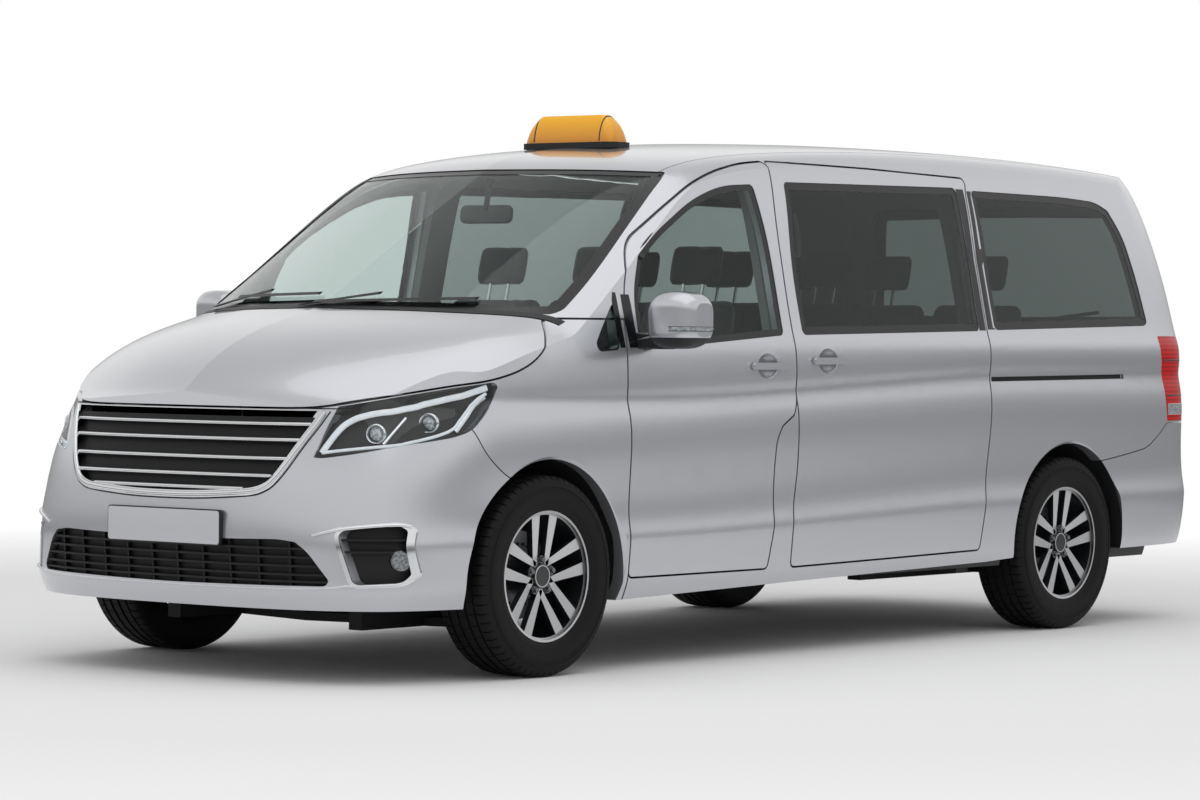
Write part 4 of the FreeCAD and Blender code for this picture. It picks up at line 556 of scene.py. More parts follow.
def amber_dome():
    """Amber acrylic, vacuum formed: glossy outside, painted paler towards its top as painted light from
    above.
    """
    made, tree, shader, place = material("amber_acrylic_dome", {
        "Roughness": 0.2, "Coat Weight": 0.35, "Coat Roughness": 0.03, "Subsurface Weight": 0.1,
        "Subsurface Radius": (0.03, 0.015, 0.004), "Subsurface Scale": 0.3})
    low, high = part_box("taxi_sign")
    height = add(tree, "ShaderNodeSeparateXYZ", links={"Vector": place}).outputs["Z"]
    # Colour by height, from deep at the foot to pale at the top: painted light from above
    painted_top_light = add(tree, "ShaderNodeMapRange", {"From Min": low.z, "From Max": high.z}, {"Value": height})
    patterned(tree, shader, painted_top_light.outputs["Result"], AMBER_PAINTED_SHADE, AMBER_PAINTED_LIGHT, 0.1, 0.1)
    return made


def woven_cloth(name, low, high, thread_mm):
    """Woven, knitted or needled cloth, soft and matt: two close greys, its threads drawn coarse to show."""
    made, tree, shader, place = material(name, {
        "Roughness": 0.92, "Sheen Weight": 0.35, "Sheen Roughness": 0.5})
    bias = add(tree, "ShaderNodeMapping", {"Rotation": (0.6, 0.4, 0.785)}, {"Vector": place})
    threads = [add(tree, "ShaderNodeTexWave",
                   {"Scale": per_metre(thread_mm) / WAVE_REPEATS, "Distortion": 0.6},
                   {"Vector": bias.outputs["Vector"]}, bands_direction=way).outputs["Fac"]
               for way in ("X", "Y")]
    weave = add(tree, "ShaderNodeMath", None, {0: threads[0], 1: threads[1]}, operation="MULTIPLY")
    patterned(tree, shader, weave.outputs[0], low, high, 0.35, 0.8)
    return made


def bare_metal(name, code, rough):
    """Turned, pressed or cast metal: grey with light marks and a dull shine."""
    return clouded(name, {"Metallic": 1.0, "Roughness": rough}, 6.0, 5.0, 0.7, code, STEEL_GREY, 0.05,
                   0.4)[0]


def mirror_silver():
    """Silvered glass of a door mirror: a cold, slightly blue mirror."""
    return clouded("silvered_mirror_glass", {"Metallic": 1.0, "Roughness": 0.02}, 60.0, 1.0, 0.5,
                   "C4CCD2", "CDD4D9", 0.01, 0.1)[0]


def plate_sheeting():
    """Retroreflective sheeting on an aluminium plate, left bare: grey, its beads drawn coarse to show."""
    return clouded("bare_plate_sheeting", {"Roughness": 0.35, "Coat Weight": 0.4}, 1.2, 1.0, 0.5,
                   PLATE_GREY, "C8C9CD", 0.03, 0.4)[0]


PAINT = sprayed_metallic()
BLACK_GLOSS = moulded("gloss_black_abs", SATIN_BLACK, 0.14, 40.0, 0.01, "111214")
BLACK_SATIN = moulded("satin_black_polypropylene", PLASTIC_BLACK, 0.48, 1.4)
BLACK_DEEP = moulded("unlit_black_backing", "060607", 0.6, 3.0, 0.05, "0A0A0B")
INNER_TRIM = moulded("grained_grey_trim", TRIM_GREY, 0.6, 1.8, 0.08, "9C9E9D")
ROOF_LINING = woven_cloth("knitted_roof_lining", "BFBFBC", HEADLINER, 5.655)
FASCIA = moulded("grained_dark_fascia", FASCIA_GREY, 0.58, 1.6, 0.1, "303236")
FLOOR_CARPET = woven_cloth("needled_floor_carpet", CARPET, "2B2C2F", 7.54)
CHROME_TRIM = plated_chrome()
ALLOY = turned_alloy()
WHEEL_BLACK = lacquered_black()
TYRE = tyre_rubber()
SEAL = moulded("extruded_rubber_seal", "101112", 0.55, 2.0, 0.05, "17181A")
SCREEN_GLASS = float_glass("clear_laminated_glass", GLASS_CLEAR)
DOOR_GLASS = float_glass("light_tinted_glass", GLASS_LIGHT)
REAR_GLASS = float_glass("dark_tinted_glass", GLASS_DARK, 1.3)
FRIT = moulded("fired_black_frit", FRIT_BLACK, 0.22, 5.0, 0.01, "101112")
LENS = clear_lens()
OPTIC = optic_glass()
GUIDE = lit_guide()
RED = red_lens()
AMBER_DOME = amber_dome()
CLOTH = woven_cloth("flat_woven_seat_cloth", CLOTH_DARK, CLOTH_LIGHT, 4.147)
PIPING = woven_cloth("corded_seat_piping", "181A1C", "26292C", 3.393)
STEEL = bare_metal("turned_brake_steel", "6F7174", 0.32)
CAST = bare_metal("cast_iron", CAST_GREY, 0.62)
COATED = moulded("black_chassis_coating", COATING_BLACK, 0.7, 8.0, 0.3)
MIRROR_GLASS = mirror_silver()
PLATE = plate_sheeting()

# Pieces of the car that have one finish all over
PLAIN_FINISHES = {
    "cowl_panel": BLACK_SATIN, "wipers": BLACK_SATIN, "sign_base": BLACK_SATIN,
    "windscreen": SCREEN_GLASS, "door_glass_left": DOOR_GLASS, "door_glass_right": DOOR_GLASS,
    "side_windows": REAR_GLASS, "tailgate_glass": REAR_GLASS,
    "wheel_housings": COATED, "front_axle": COATED, "rear_axle": COATED,
    "door_pillars": INNER_TRIM, "dashboard": FASCIA, "engine_block": CAST,
    "knuckle_left": CAST, "knuckle_right": CAST, "taxi_sign": AMBER_DOME,
    "grille_frame": CHROME_TRIM, "fog_trims": CHROME_TRIM, "fog_bezels": BLACK_DEEP,
    "lower_grille": BLACK_DEEP, "front_grille": BLACK_DEEP, "headlamps": LENS,
    "tail_lamps": RED, "fog_lamps": OPTIC}


def joined(*shapes):
    """Several shapes as one: each is its points and its faces."""
    points, faces = [], []
    for some_points, some_faces in shapes:
        start = len(points)
        points += [Vector(p) for p in some_points]
        faces += [tuple(start + i for i in face) for face in some_faces]
    return points, faces


def moved(shape, matrix):
    """The shape put in another place or turned."""
    points, faces = shape
    return [matrix @ Vector(p) for p in points], faces


def flipped(shape):
    """The shape's mirror image across the car's middle."""
    points, faces = shape
    return [Vector((-p[0], p[1], p[2])) for p in points], [tuple(reversed(face)) for face in faces]


def both_sides(shape):
    """The shape and its mirror image as one."""
    return joined(shape, flipped(shape))


def finished(name, shape, finish, body, sharp=PLAIN_ANGLE, bevel=0.0):
    """A closed piece in the car's own frame, its faces turned outwards, riding on a body."""
    points, faces = shape
    mesh = bpy.data.meshes.new(name)
    mesh.from_pydata([tuple(p) for p in points], [], faces)
    skin = bmesh.new()
    skin.from_mesh(mesh)
    bmesh.ops.remove_doubles(skin, verts=skin.verts, dist=WELD)
    if bevel:
        corners = [e for e in skin.edges if e.calc_face_angle(0.0) > BEVEL_ANGLE]
        bmesh.ops.bevel(skin, geom=corners, offset=bevel, segments=3, profile=0.5, affect="EDGES")
    bmesh.ops.recalc_face_normals(skin, faces=skin.faces)
    skin.to_mesh(mesh)
    skin.free()
    mesh.shade_smooth()
    mesh.set_sharp_from_angle(angle=math.radians(sharp))
    mesh.materials.append(finish)
    made = bpy.data.objects.new(name, mesh)
    bpy.context.scene.collection.objects.link(made)
    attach(made, body)
    return made


def skin_tree(names, facing):
    """A search tree over the outer faces of these nodes, to lay pieces on them."""
    points, faces = [], []
    for name in names:
        mesh = NODES[name].data
        kept = np.nonzero(facing(polygon_vectors(mesh, "normal"), polygon_vectors(mesh, "center")))[0]
        start = len(points)
        points += [v.co.copy() for v in mesh.vertices]
        faces += [[start + i for i in mesh.polygons[k].vertices] for k in kept]
    return BVHTree.FromPolygons(points, faces)


def laid(tree, points, way, lift=0.0):
    """Points moved along a direction to the first panel that they meet, with its outward normals."""
    ahead = Vector(way).normalized()
    spots, normals = [], []
    for point in points:
        spot, normal, face, far = tree.ray_cast(Vector(point) - ahead * RAY_START, ahead)
        if spot is None:
            continue
        if normal.dot(ahead) > 0:
            normal = -normal
        spots.append(spot + normal * lift)
        normals.append(normal)
    return spots, normals


def fanned(tree, start, ways, step):
    """The even line where a fan of rays from one point meets the panel, with its outward normals."""
    spots, normals = [], []
    for way in ways:
        spot, normal, face, far = tree.ray_cast(start, way.normalized())
        if spot is not None:
            spots.append(spot)
            normals.append(normal if normal.dot(way) > 0 else -normal)
    return spread(spots, step, normals=normals)


def spread(points, step, closed=False, normals=None):
    """A line resampled evenly, and with it any normals that it carries."""
    line = np.array([tuple(p) for p in points])
    carried = np.zeros_like(line) if normals is None else np.array([tuple(n) for n in normals])
    if closed:
        line = np.vstack([line, line[:1]])
        carried = np.vstack([carried, carried[:1]])
    runs = np.concatenate([[0], np.cumsum(np.linalg.norm(np.diff(line, axis=0), axis=1))])
    count = max(int(round(runs[-1] / step)), 3)
    places = np.linspace(0, runs[-1], count + 1)[:count if closed else count + 1]
    columns = [np.interp(places, runs, values) for values in list(line.T) + list(carried.T)]
    spots = [Vector(v) for v in zip(*columns[:3])]
    if normals is None:
        return spots
    return spots, [Vector(v).normalized() for v in zip(*columns[3:])]


def between(start, end, steps):
    """Even points on a straight line, both its ends among them."""
    return [Vector(start).lerp(Vector(end), i / steps) for i in range(steps + 1)]


def softened(points):
    """An open line with its corners cut back twice, so that it bends instead of turning."""
    line = [Vector(p) for p in points]
    for turn in range(2):
        cut = [line[0]]
        for start, end in zip(line, line[1:]):
            cut += [start.lerp(end, 0.25), start.lerp(end, 0.75)]
        line = cut + [line[-1]]
    return line


def strip(points, normals, section, closed=False):
    """A strip along a line: its section's first number runs across, its second out from the panel."""
    count, ring = len(points), len(section)
    placed, faces = [], []
    for i in range(count):
        before = points[i - 1] if closed or i else points[i]
        after = points[(i + 1) % count] if closed or i < count - 1 else points[i]
        across = (after - before).normalized().cross(normals[i]).normalized()
        placed += [points[i] + across * wide + normals[i] * high for wide, high in section]
    for i in range(count if closed else count - 1):
        j = (i + 1) % count
        faces += [(i * ring + k, j * ring + k, j * ring + (k + 1) % ring, i * ring + (k + 1) % ring)
                  for k in range(ring)]
    if not closed:
        faces += [tuple(range(ring)), tuple(reversed(range((count - 1) * ring, count * ring)))]
    return placed, faces


def laid_strip(tree, line, way, section, lift=0.0):
    """A strip along a line that is moved onto the panels along a direction."""
    spots, normals = laid(tree, line, way, lift)
    return strip(spots, normals, section)


def flat_section(width, high, low=0.0, start=None):
    """A strip's section: a low bar with slightly rounded shoulders."""
    left = -width / 2 if start is None else start
    soft = min(width / 4, (high - low) / 2)
    return [(left, low), (left + width, low), (left + width, high - soft), (left + width - soft, high),
            (left + soft, high), (left, high - soft)]


def bead_section(width, high):
    """A strip's section: a half-round bead on a foot sunk into the panel."""
    arc = [(width / 2 * math.cos(math.pi * i / BEAD_STEPS), high * math.sin(math.pi * i / BEAD_STEPS))
           for i in range(BEAD_STEPS + 1)]
    return [(-width / 2, BEAD_SINK), (width / 2, BEAD_SINK)] + arc


def sheet_on(tree, rows, way):
    """A thin closed sheet laid on the panels along a direction, through rows of points."""
    front, back = [], []
    for row in rows:
        spots, normals = laid(tree, row, way)
        if len(spots) < len(row):
            continue
        front.append([p + n * SHEET_SKIN for p, n in zip(spots, normals)])
        back.append([p - n * SHEET_SKIN for p, n in zip(spots, normals)])
    return closed_sheet(front, back)


def closed_sheet(front, back):
    """Two grids of points, one behind the other, as a closed sheet."""
    high, wide = len(front), len(front[0])
    points = [p for row in front for p in row] + [p for row in back for p in row]
    half = high * wide
    faces = []
    for i in range(high - 1):
        for j in range(wide - 1):
            a, b, c, d = i * wide + j, i * wide + j + 1, (i + 1) * wide + j + 1, (i + 1) * wide + j
            faces += [(a, b, c, d), (half + d, half + c, half + b, half + a)]
    edge = list(range(wide)) + [i * wide + wide - 1 for i in range(1, high)]
    edge += [(high - 1) * wide + j for j in reversed(range(wide - 1))]
    edge += [i * wide for i in reversed(range(1, high - 1))]
    for k, a in enumerate(edge):
        b = edge[(k + 1) % len(edge)]
        faces.append((a, half + a, half + b, b))
    return points, faces


def turned(profile, steps, start=0.0, end=360.0):
    """A section of places along X and radii, in metres, turned round the X axis."""
    whole = abs(end - start) >= 360.0
    count = steps if whole else steps + 1
    ring = len(profile)
    points, faces = [], []
    for i in range(count):
        angle = math.radians(start + (end - start) * i / steps)
        points += [Vector((x, -r * math.sin(angle), r * math.cos(angle))) for x, r in profile]
    for i in range(steps):
        j = (i + 1) % count
        for k in range(ring):
            m = (k + 1) % ring
            if profile[k][1] == 0 and profile[m][1] == 0:
                continue
            faces.append((i * ring + k, i * ring + m, j * ring + m, j * ring + k))
    if not whole:
        faces += [tuple(range(ring)), tuple(reversed(range(steps * ring, count * ring)))]
    return points, faces


def scaled_down(profile):
    """A section in millimetres as one in metres."""
    return [(x * MM, r * MM) for x, r in profile]


def mirrored(line):
    """A line from the side to the middle, carried on to the other side."""
    return [(-x, z) for x, z in line] + list(reversed(line[:-1]))


def prism(outline, depth):
    """A flat outline in X and Z pushed back along Y, towards the tail."""
    count = len(outline)
    points = [Vector((x, 0, z)) for x, z in outline] + [Vector((x, depth, z)) for x, z in outline]
    faces = [tuple(range(count)), tuple(reversed(range(count, 2 * count)))]
    faces += [(i, count + i, count + (i + 1) % count, (i + 1) % count) for i in range(count)]
    return points, faces


def round_outline(width, height, corner, steps=6):
    """A rectangle about the middle with rounded corners."""
    points = []
    for turn, (sx, sz) in enumerate(((1, 1), (-1, 1), (-1, -1), (1, -1))):
        for i in range(steps + 1):
            angle = math.radians(90 * turn + 90 * i / steps)
            points.append((sx * (width / 2 - corner) + corner * math.cos(angle),
                           sz * (height / 2 - corner) + corner * math.sin(angle)))
    return points


def opened_tree(name, inputs):
    """A tree that takes a piece, these inputs and a finish, and what it is given."""
    tree = bpy.data.node_groups.new(name, "GeometryNodeTree")
    for label, kind in (("Piece", "Geometry"), *inputs, ("Finish", "Material")):
        tree.interface.new_socket(label, in_out="INPUT", socket_type="NodeSocket" + kind)
    tree.interface.new_socket("Piece", in_out="OUTPUT", socket_type="NodeSocketGeometry")
    return tree, add(tree, "NodeGroupInput").outputs


def closed_tree(tree, given, places):
    """The tree with its result: the piece copied to these places, made real and given its finish."""
    copies = add(tree, "GeometryNodeInstanceOnPoints", None, {"Instance": given["Piece"], **places})
    real = add(tree, "GeometryNodeRealizeInstances", links={"Geometry": copies.outputs[0]})
    coated = add(tree, "GeometryNodeSetMaterial", None,
                 {"Geometry": real.outputs[0], "Material": given["Finish"]})
    add(tree, "NodeGroupOutput", links={"Piece": coated.outputs[0]})
    return tree


def ring_tree():
    """A tree that repeats a piece evenly round the X axis, as blocks, bolts and spoke covers are."""
    tree, given = opened_tree("pieces_round_an_axle", [("Count", "Int"), ("Start", "Float")])
    points = add(tree, "GeometryNodePoints", links={"Count": given["Count"]}).outputs[0]
    index = add(tree, "GeometryNodeInputIndex").outputs[0]
    part = add(tree, "ShaderNodeMath", {0: 2 * math.pi}, {1: given["Count"]}, operation="DIVIDE")
    turn = add(tree, "ShaderNodeMath", None, {0: index, 1: part.outputs[0], 2: given["Start"]},
               operation="MULTIPLY_ADD")
    spin = add(tree, "ShaderNodeCombineXYZ", links={"X": turn.outputs[0]}).outputs[0]
    return closed_tree(tree, given, {"Points": points, "Rotation": spin})


def row_tree():
    """A tree that repeats a piece in a straight row, as fins are."""
    tree, given = opened_tree("pieces_in_a_row", [("Count", "Int"), ("Step", "Vector")])
    line = add(tree, "GeometryNodeMeshLine", None, {"Count": given["Count"], "Offset": given["Step"]})
    return closed_tree(tree, given, {"Points": line.outputs[0]})


def repeated(tree, shape, finish, values):
    """The shape that a tree makes of one piece with these named inputs."""
    mesh = bpy.data.meshes.new("one_of_many")
    mesh.from_pydata([tuple(p) for p in shape[0]], [], shape[1])
    carrier = bpy.data.objects.new("one_of_many", mesh)
    bpy.context.scene.collection.objects.link(carrier)
    modifier = carrier.modifiers.new("repeat", "NODES")
    modifier.node_group = tree
    sockets = {item.name: item.identifier for item in tree.interface.items_tree if item.in_out == "INPUT"}
    for name, value in dict(values, Finish=finish).items():
        modifier[sockets[name]] = value
    grown = carrier.evaluated_get(bpy.context.evaluated_depsgraph_get())
    plain = bpy.data.meshes.new_from_object(grown)
    points = [v.co.copy() for v in plain.vertices]
    faces = [tuple(p.vertices) for p in plain.polygons]
    carrier.modifiers.remove(modifier)
    bpy.data.objects.remove(carrier)
    bpy.data.meshes.remove(plain)
    return points, faces


ROUND_AXLE = ring_tree()
IN_A_ROW = row_tree()


def camera():
    """The photographer's place, turned by yaw, pitch and roll."""
    yaw, pitch, roll = (math.radians(v) for v in (CAMERA_YAW, CAMERA_PITCH, CAMERA_ROLL))
    back = Vector((math.sin(yaw) * math.cos(pitch), -math.cos(yaw) * math.cos(pitch), math.sin(pitch)))
    level = Vector((math.cos(yaw), math.sin(yaw), 0))
    rise = back.cross(level)
    right = level * math.cos(roll) + rise * math.sin(roll)
    up = rise * math.cos(roll) - level * math.sin(roll)
    lens = bpy.data.cameras.new("camera")
    lens.lens = CAMERA_LENS_MM
    lens.clip_end = 500
    made = bpy.data.objects.new("camera", lens)
    made.matrix_world = Matrix.Translation(CAMERA_PLACE) @ Matrix((right, up, back)).transposed().to_4x4()
    bpy.context.scene.collection.objects.link(made)
    bpy.context.scene.camera = made


def world_light():
    """Plain white to the eye and in glass, a soft sky in gloss, and an even level on the car."""
    world = bpy.data.worlds.new("studio")
    world.use_nodes = True
    bpy.context.scene.world = world
    tree = world.node_tree
    tree.nodes.clear()
    rays = add(tree, "ShaderNodeLightPath").outputs
    seen = add(tree, "ShaderNodeMath", None, {0: rays["Is Camera Ray"], 1: rays["Is Transmission Ray"]},
               operation="MAXIMUM").outputs[0]
    way = add(tree, "ShaderNodeTexCoord").outputs["Generated"]
    height = add(tree, "ShaderNodeSeparateXYZ", links={"Vector": way}).outputs["Z"]
    gloss = add(tree, "ShaderNodeMapRange", {"From Min": HIGH_START, "From Max": HIGH_END,
                                             "To Min": HORIZON_LEVEL, "To Max": HIGH_LEVEL},
                {"Value": height}, interpolation_type="SMOOTHSTEP").outputs["Result"]
    crown = add(tree, "ShaderNodeMapRange", {"From Min": CROWN_START, "From Max": CROWN_END,
                                             "To Min": 1.0, "To Max": CROWN_SHARE},
                {"Value": height}, interpolation_type="SMOOTHSTEP").outputs["Result"]
    gloss = add(tree, "ShaderNodeMath", None, {0: gloss, 1: crown}, operation="MULTIPLY").outputs[0]
    level = add(tree, "ShaderNodeMix", {"A": WORLD_LEVEL}, {"Factor": rays["Is Glossy Ray"], "B": gloss},
                data_type="FLOAT").outputs["Result"]
    shown = add(tree, "ShaderNodeMix", {"B": 1.0}, {"Factor": seen, "A": level},
                data_type="FLOAT").outputs["Result"]
    sky = add(tree, "ShaderNodeBackground", {"Color": (1, 1, 1, 1)}, {"Strength": shown})
    add(tree, "ShaderNodeOutputWorld", links={"Surface": sky.outputs[0]})


def soft_box():
    """One large square light over the car, tipped a little."""
    lamp = bpy.data.lights.new("top_soft_box", "AREA")
    lamp.shape = "SQUARE"
    lamp.size = TOP_BOX_SIZE
    lamp.energy = TOP_BOX_WATTS
    made = bpy.data.objects.new("top_soft_box", lamp)
    made.location = TOP_BOX_PLACE
    made.rotation_euler = (TOP_BOX_LEAN, TOP_BOX_LEAN, 0)
    bpy.context.scene.collection.objects.link(made)


def studio_floor():
    """A pale floor that keeps the car's shadow and turns to plain white further out."""
    mesh = bpy.data.meshes.new("studio_floor")
    half = FLOOR_SIZE / 2
    corners = [(-half, -half, 0), (half, -half, 0), (half, half, 0), (-half, half, 0)]
    mesh.from_pydata(corners, [], [(0, 1, 2, 3)])
    made = bpy.data.objects.new("studio_floor", mesh)
    bpy.context.scene.collection.objects.link(made)
    cover, tree, shader, place = material("pale_floor", {"Base Color": linear("FAFAFA"), "Roughness": 0.9})
    far = add(tree, "ShaderNodeVectorMath", None, {0: place}, operation="LENGTH").outputs["Value"]
    fade = add(tree, "ShaderNodeMapRange", {"From Min": FLOOR_NEAR, "From Max": FLOOR_FAR}, {"Value": far})
    glossy = add(tree, "ShaderNodeLightPath").outputs["Is Glossy Ray"]
    level = add(tree, "ShaderNodeMapRange", {"To Min": 1.0, "To Max": FLOOR_GLOSS}, {"Value": glossy})
    white = add(tree, "ShaderNodeEmission", {"Color": (1, 1, 1, 1)}, {"Strength": level.outputs["Result"]})
    blend = add(tree, "ShaderNodeMixShader", None,
                {0: fade.outputs["Result"], 1: shader.outputs[0], 2: white.outputs[0]})
    out = [n for n in tree.nodes if n.type == "OUTPUT_MATERIAL"][0]
    tree.links.new(blend.outputs[0], out.inputs["Surface"])
    mesh.materials.append(cover)


def polygon_vectors(mesh, kind):
    """Each face's normal or centre, a row for each."""
    values = np.zeros(len(mesh.polygons) * 3)
    mesh.polygons.foreach_get(kind, values)
    return values.reshape(-1, 3)


def finish_node(name, *finishes):
    """A CAD node's finish, and others on the faces that their tests pick out."""
    mesh = NODES[name].data
    mesh.materials.clear()
    mesh.materials.append(finishes[0])
    chosen = np.zeros(len(mesh.polygons), int)
    normals, centres = polygon_vectors(mesh, "normal"), polygon_vectors(mesh, "center")
    for number, (finish, test) in enumerate(finishes[1:], 1):
        mesh.materials.append(finish)
        chosen[test(normals, centres)] = number
    mesh.polygons.foreach_set("material_index", chosen)
    mesh.update()


# Tests that pick out faces by their normals and centres
def inwards(normal, centre):
    return normal[:, 0] * np.sign(centre[:, 0]) < -FACING


def outwards(normal, centre):
    return normal[:, 0] * np.sign(centre[:, 0]) > FACING


def downwards(normal, centre):
    return normal[:, 2] < -FACING_DOWN


def backwards(normal, centre):
    return normal[:, 1] > FACING


def forwards(normal, centre):
    return normal[:, 1] < -FACING


def from_middle(normal, centre):
    """Faces that look away from the car's middle line in plan."""
    middle = np.clip(centre[:, 1], -MIDDLE_LINE, MIDDLE_LINE)
    away = centre[:, :2] - np.stack([np.zeros_like(middle), middle], 1)
    length = np.maximum(np.linalg.norm(away, axis=1), 1e-6)
    return (normal[:, :2] * away).sum(axis=1) / length > FACING


def windscreen_skin(normal, centre):
    up, ahead, across = SCREEN_FACING
    return (normal[:, 2] > up) & (normal[:, 1] < -ahead) & (np.abs(normal[:, 0]) < across)


def mirror_dark_side(normal, centre):
    """A door mirror's arm and foot, and the frame round its glass."""
    return ((centre[:, 2] < MIRROR_FOOT_TOP) | (normal[:, 1] > MIRROR_FRAME_FACING)
            | (np.abs(centre[:, 0]) < MIRROR_ARM_END))


def finish_body():
    """Paint outside, trim and coating inside, and one finish all over on the smaller pieces."""
    for name in ("door_left", "door_right", "sliding_door_left", "sliding_door_right",
                 "side_frame_left", "side_frame_right"):
        finish_node(name, PAINT, (INNER_TRIM, inwards))
    finish_node("front_wings", PAINT, (BLACK_SATIN, inwards))
    finish_node("roof_panel", PAINT, (ROOF_LINING, downwards))
    finish_node("bonnet", PAINT, (BLACK_SATIN, downwards))
    finish_node("front_bumper", PAINT, (BLACK_SATIN, backwards))
    finish_node("rear_bumper", PAINT, (BLACK_SATIN, forwards))
    finish_node("tailgate", PAINT, (INNER_TRIM, forwards))
    for name in ("mirror_left", "mirror_right"):
        finish_node(name, PAINT, (BLACK_SATIN, mirror_dark_side))
    finish_node("floor_pan", FLOOR_CARPET, (COATED, downwards))
    for name, finish in PLAIN_FINISHES.items():
        finish_node(name, finish)


def across_nose(tree, line, section):
    """A strip laid on the nose from the front, along a line of places across and heights."""
    even = spread(softened([(x, 0, z) for x, z in line]), LINE_STEP)
    return laid_strip(tree, even, (0, 1, 0), section)


def build_nose_trim():
    """Chrome beads on the nose, and a black strip round the grille's frame as painted shade in its gap."""
    nose = skin_tree(["front_grille", "grille_frame", "front_bumper", "fog_trims", "bonnet"], forwards)
    slats = [across_nose(nose, [(-half, z), (0, z), (half, z)], bead_section(*SLAT_BEAD))
             for z, half in SLATS]
    slats.append(across_nose(nose, mirrored(FRAME_LINE), bead_section(*FRAME_BEAD)))
    finished("grille_chrome", joined(*slats), CHROME_TRIM, "root", BEAD_ANGLE)
    trims = joined(across_nose(nose, FOG_TOP_LINE, bead_section(*FOG_TOP_BEAD)),
                   across_nose(nose, FOG_LOW_LINE, bead_section(*FOG_LOW_BEAD)))
    finished("fog_chrome", both_sides(trims), CHROME_TRIM, "root", BEAD_ANGLE)
    # Painted shade: a black strip along the gap round the grille's frame
    gap = across_nose(nose, mirrored(FRAME_OUTLINE), flat_section(*FRAME_GAP_SHADE))
    finished("nose_gap_shade", gap, BLACK_SATIN, "root", STRIP_ANGLE)
    lip = across_nose(nose, mirrored(LIP_LINE), bead_section(*LIP_BEAD))
    finished("lower_grille_lip", lip, CHROME_TRIM, "root", BEAD_ANGLE)


def band_sheet(tree, band):
    """A thin sheet laid from the side, between two edges given by height."""
    tall, ahead, behind = zip(*band)
    heights = np.linspace(tall[0], tall[-1], SHEET_ROWS)
    starts, ends = np.interp(heights, tall, ahead), np.interp(heights, tall, behind)
    grid = [between((0, y0, z), (0, y1, z), SHEET_STEPS) for z, y0, y1 in zip(heights, starts, ends)]
    return sheet_on(tree, grid, (-1, 0, 0))


def build_side_trim():
    """Gloss black panels by the side windows, and a black strip over the sliding door's rail slot as
    painted shade in it.
    """
    side, front = (skin_tree(names, lambda n, c: outwards(n, c) & (c[:, 0] > 0)) for names in (
        ["sliding_door_left", "side_frame_left", "side_windows"],
        ["door_left", "side_frame_left", "front_wings"]))
    sheets = [band_sheet(side, DOOR_BAND), band_sheet(side, FRAME_BAND), band_sheet(front, QUARTER_BAND)]
    finished("window_pillars", both_sides(joined(*sheets)), BLACK_GLOSS, "root",
             STRIP_ANGLE)
    sail = band_sheet(front, SAIL_BAND)
    finished("sail_left", sail, BLACK_GLOSS, "door_left", STRIP_ANGLE)
    finished("sail_right", flipped(sail), BLACK_GLOSS, "door_right", STRIP_ANGLE)
    # A flat black strip laid along the rail's slot: painted shade in the slot
    start, end = ((0, y, z) for y, z in RAIL_LINE)
    rail = laid_strip(side, between(start, end, RAIL_STEPS), (-1, 0, 0), flat_section(*RAIL_SHADE_SECTION))
    finished("rail_slot_shade", both_sides(rail), BLACK_DEEP, "root", STRIP_ANGLE)


def at_wheel(shape, corner):
    """A shape made about its own axle, outside towards +X, put in place at a wheel."""
    side, across, along, body = WHEELS[corner]
    placed = shape if side > 0 else flipped(shape)
    return moved(placed, Matrix.Translation((side * across, along, WHEEL_HEIGHT)))


def carcass():
    """The tyre's own section, from bead to bead over the tread's foot, turned with its inside."""
    half = scaled_down(CARCASS)
    back = scaled_down(CARCASS_BACK)
    other = [(-x, r) for x, r in reversed(half)]
    inner = [(-x, r) for x, r in reversed(back)][:-1] + back
    return turned(half + other + inner, ROUND_STEPS)


def block_ring(section, count, fill, shift):
    """Tread blocks of one row, evenly round the tyre with a sipe between each two."""
    half_turn = 180.0 / count * fill
    block = turned(scaled_down(section), 3, -half_turn, half_turn)
    return repeated(ROUND_AXLE, block, TYRE, {"Count": count, "Start": shift})


def tread():
    """Rows of blocks: both shoulders, a row of ribs inside each, and the middle one."""
    outer, inner = (block_ring(SHOULDER_BLOCK, SHOULDER_BLOCKS, SHOULDER_FILL, shift)
                    for shift in (0.0, math.pi / SHOULDER_BLOCKS))
    ribs, middle = (block_ring(section, RIB_BLOCKS, fill, shift) for section, fill, shift in RIB_ROWS)
    return joined(outer, flipped(inner), ribs, flipped(ribs), middle)


def sidewall():
    """Two raised rings and a band of fine ribs moulded on the outer sidewall."""
    rings = [turned(scaled_down([(x + out, r + up) for out, up in RING_SECTION]), ROUND_STEPS)
             for x, r in SIDEWALL_RINGS]
    rib = turned(scaled_down(SIDEWALL_RIB), 1, -RIB_HALF_TURN, RIB_HALF_TURN)
    return joined(*rings, repeated(ROUND_AXLE, rib, TYRE, {"Count": SIDEWALL_RIBS, "Start": 0.0}))


def spoke_tongue():
    """The machined face of a spoke, carried on over the hub to its cap."""
    front, back = ([Vector((HUB_FACE + lift, y * MM, z * MM)) for y, z in SPOKE_TONGUE]
                   for lift in (TONGUE_HIGH, -TONGUE_LOW))
    faces = [(0, 1, 2, 3), (7, 6, 5, 4)] + [(i, 4 + i, 4 + (i + 1) % 4, (i + 1) % 4) for i in range(4)]
    mirror = [Vector((p.x, -p.y, p.z)) for p in front + back], [tuple(reversed(f)) for f in faces]
    return joined((front + back, faces), mirror)


def wheel_bolt():
    """A bolt with a round washer and a six-sided head."""
    pieces = joined(turned(scaled_down(BOLT_WASHER), 20), turned(scaled_down(BOLT_HEAD), 6))
    return moved(pieces, Matrix.Translation((HUB_FACE - BOLT_SINK, 0, BOLT_CIRCLE)))


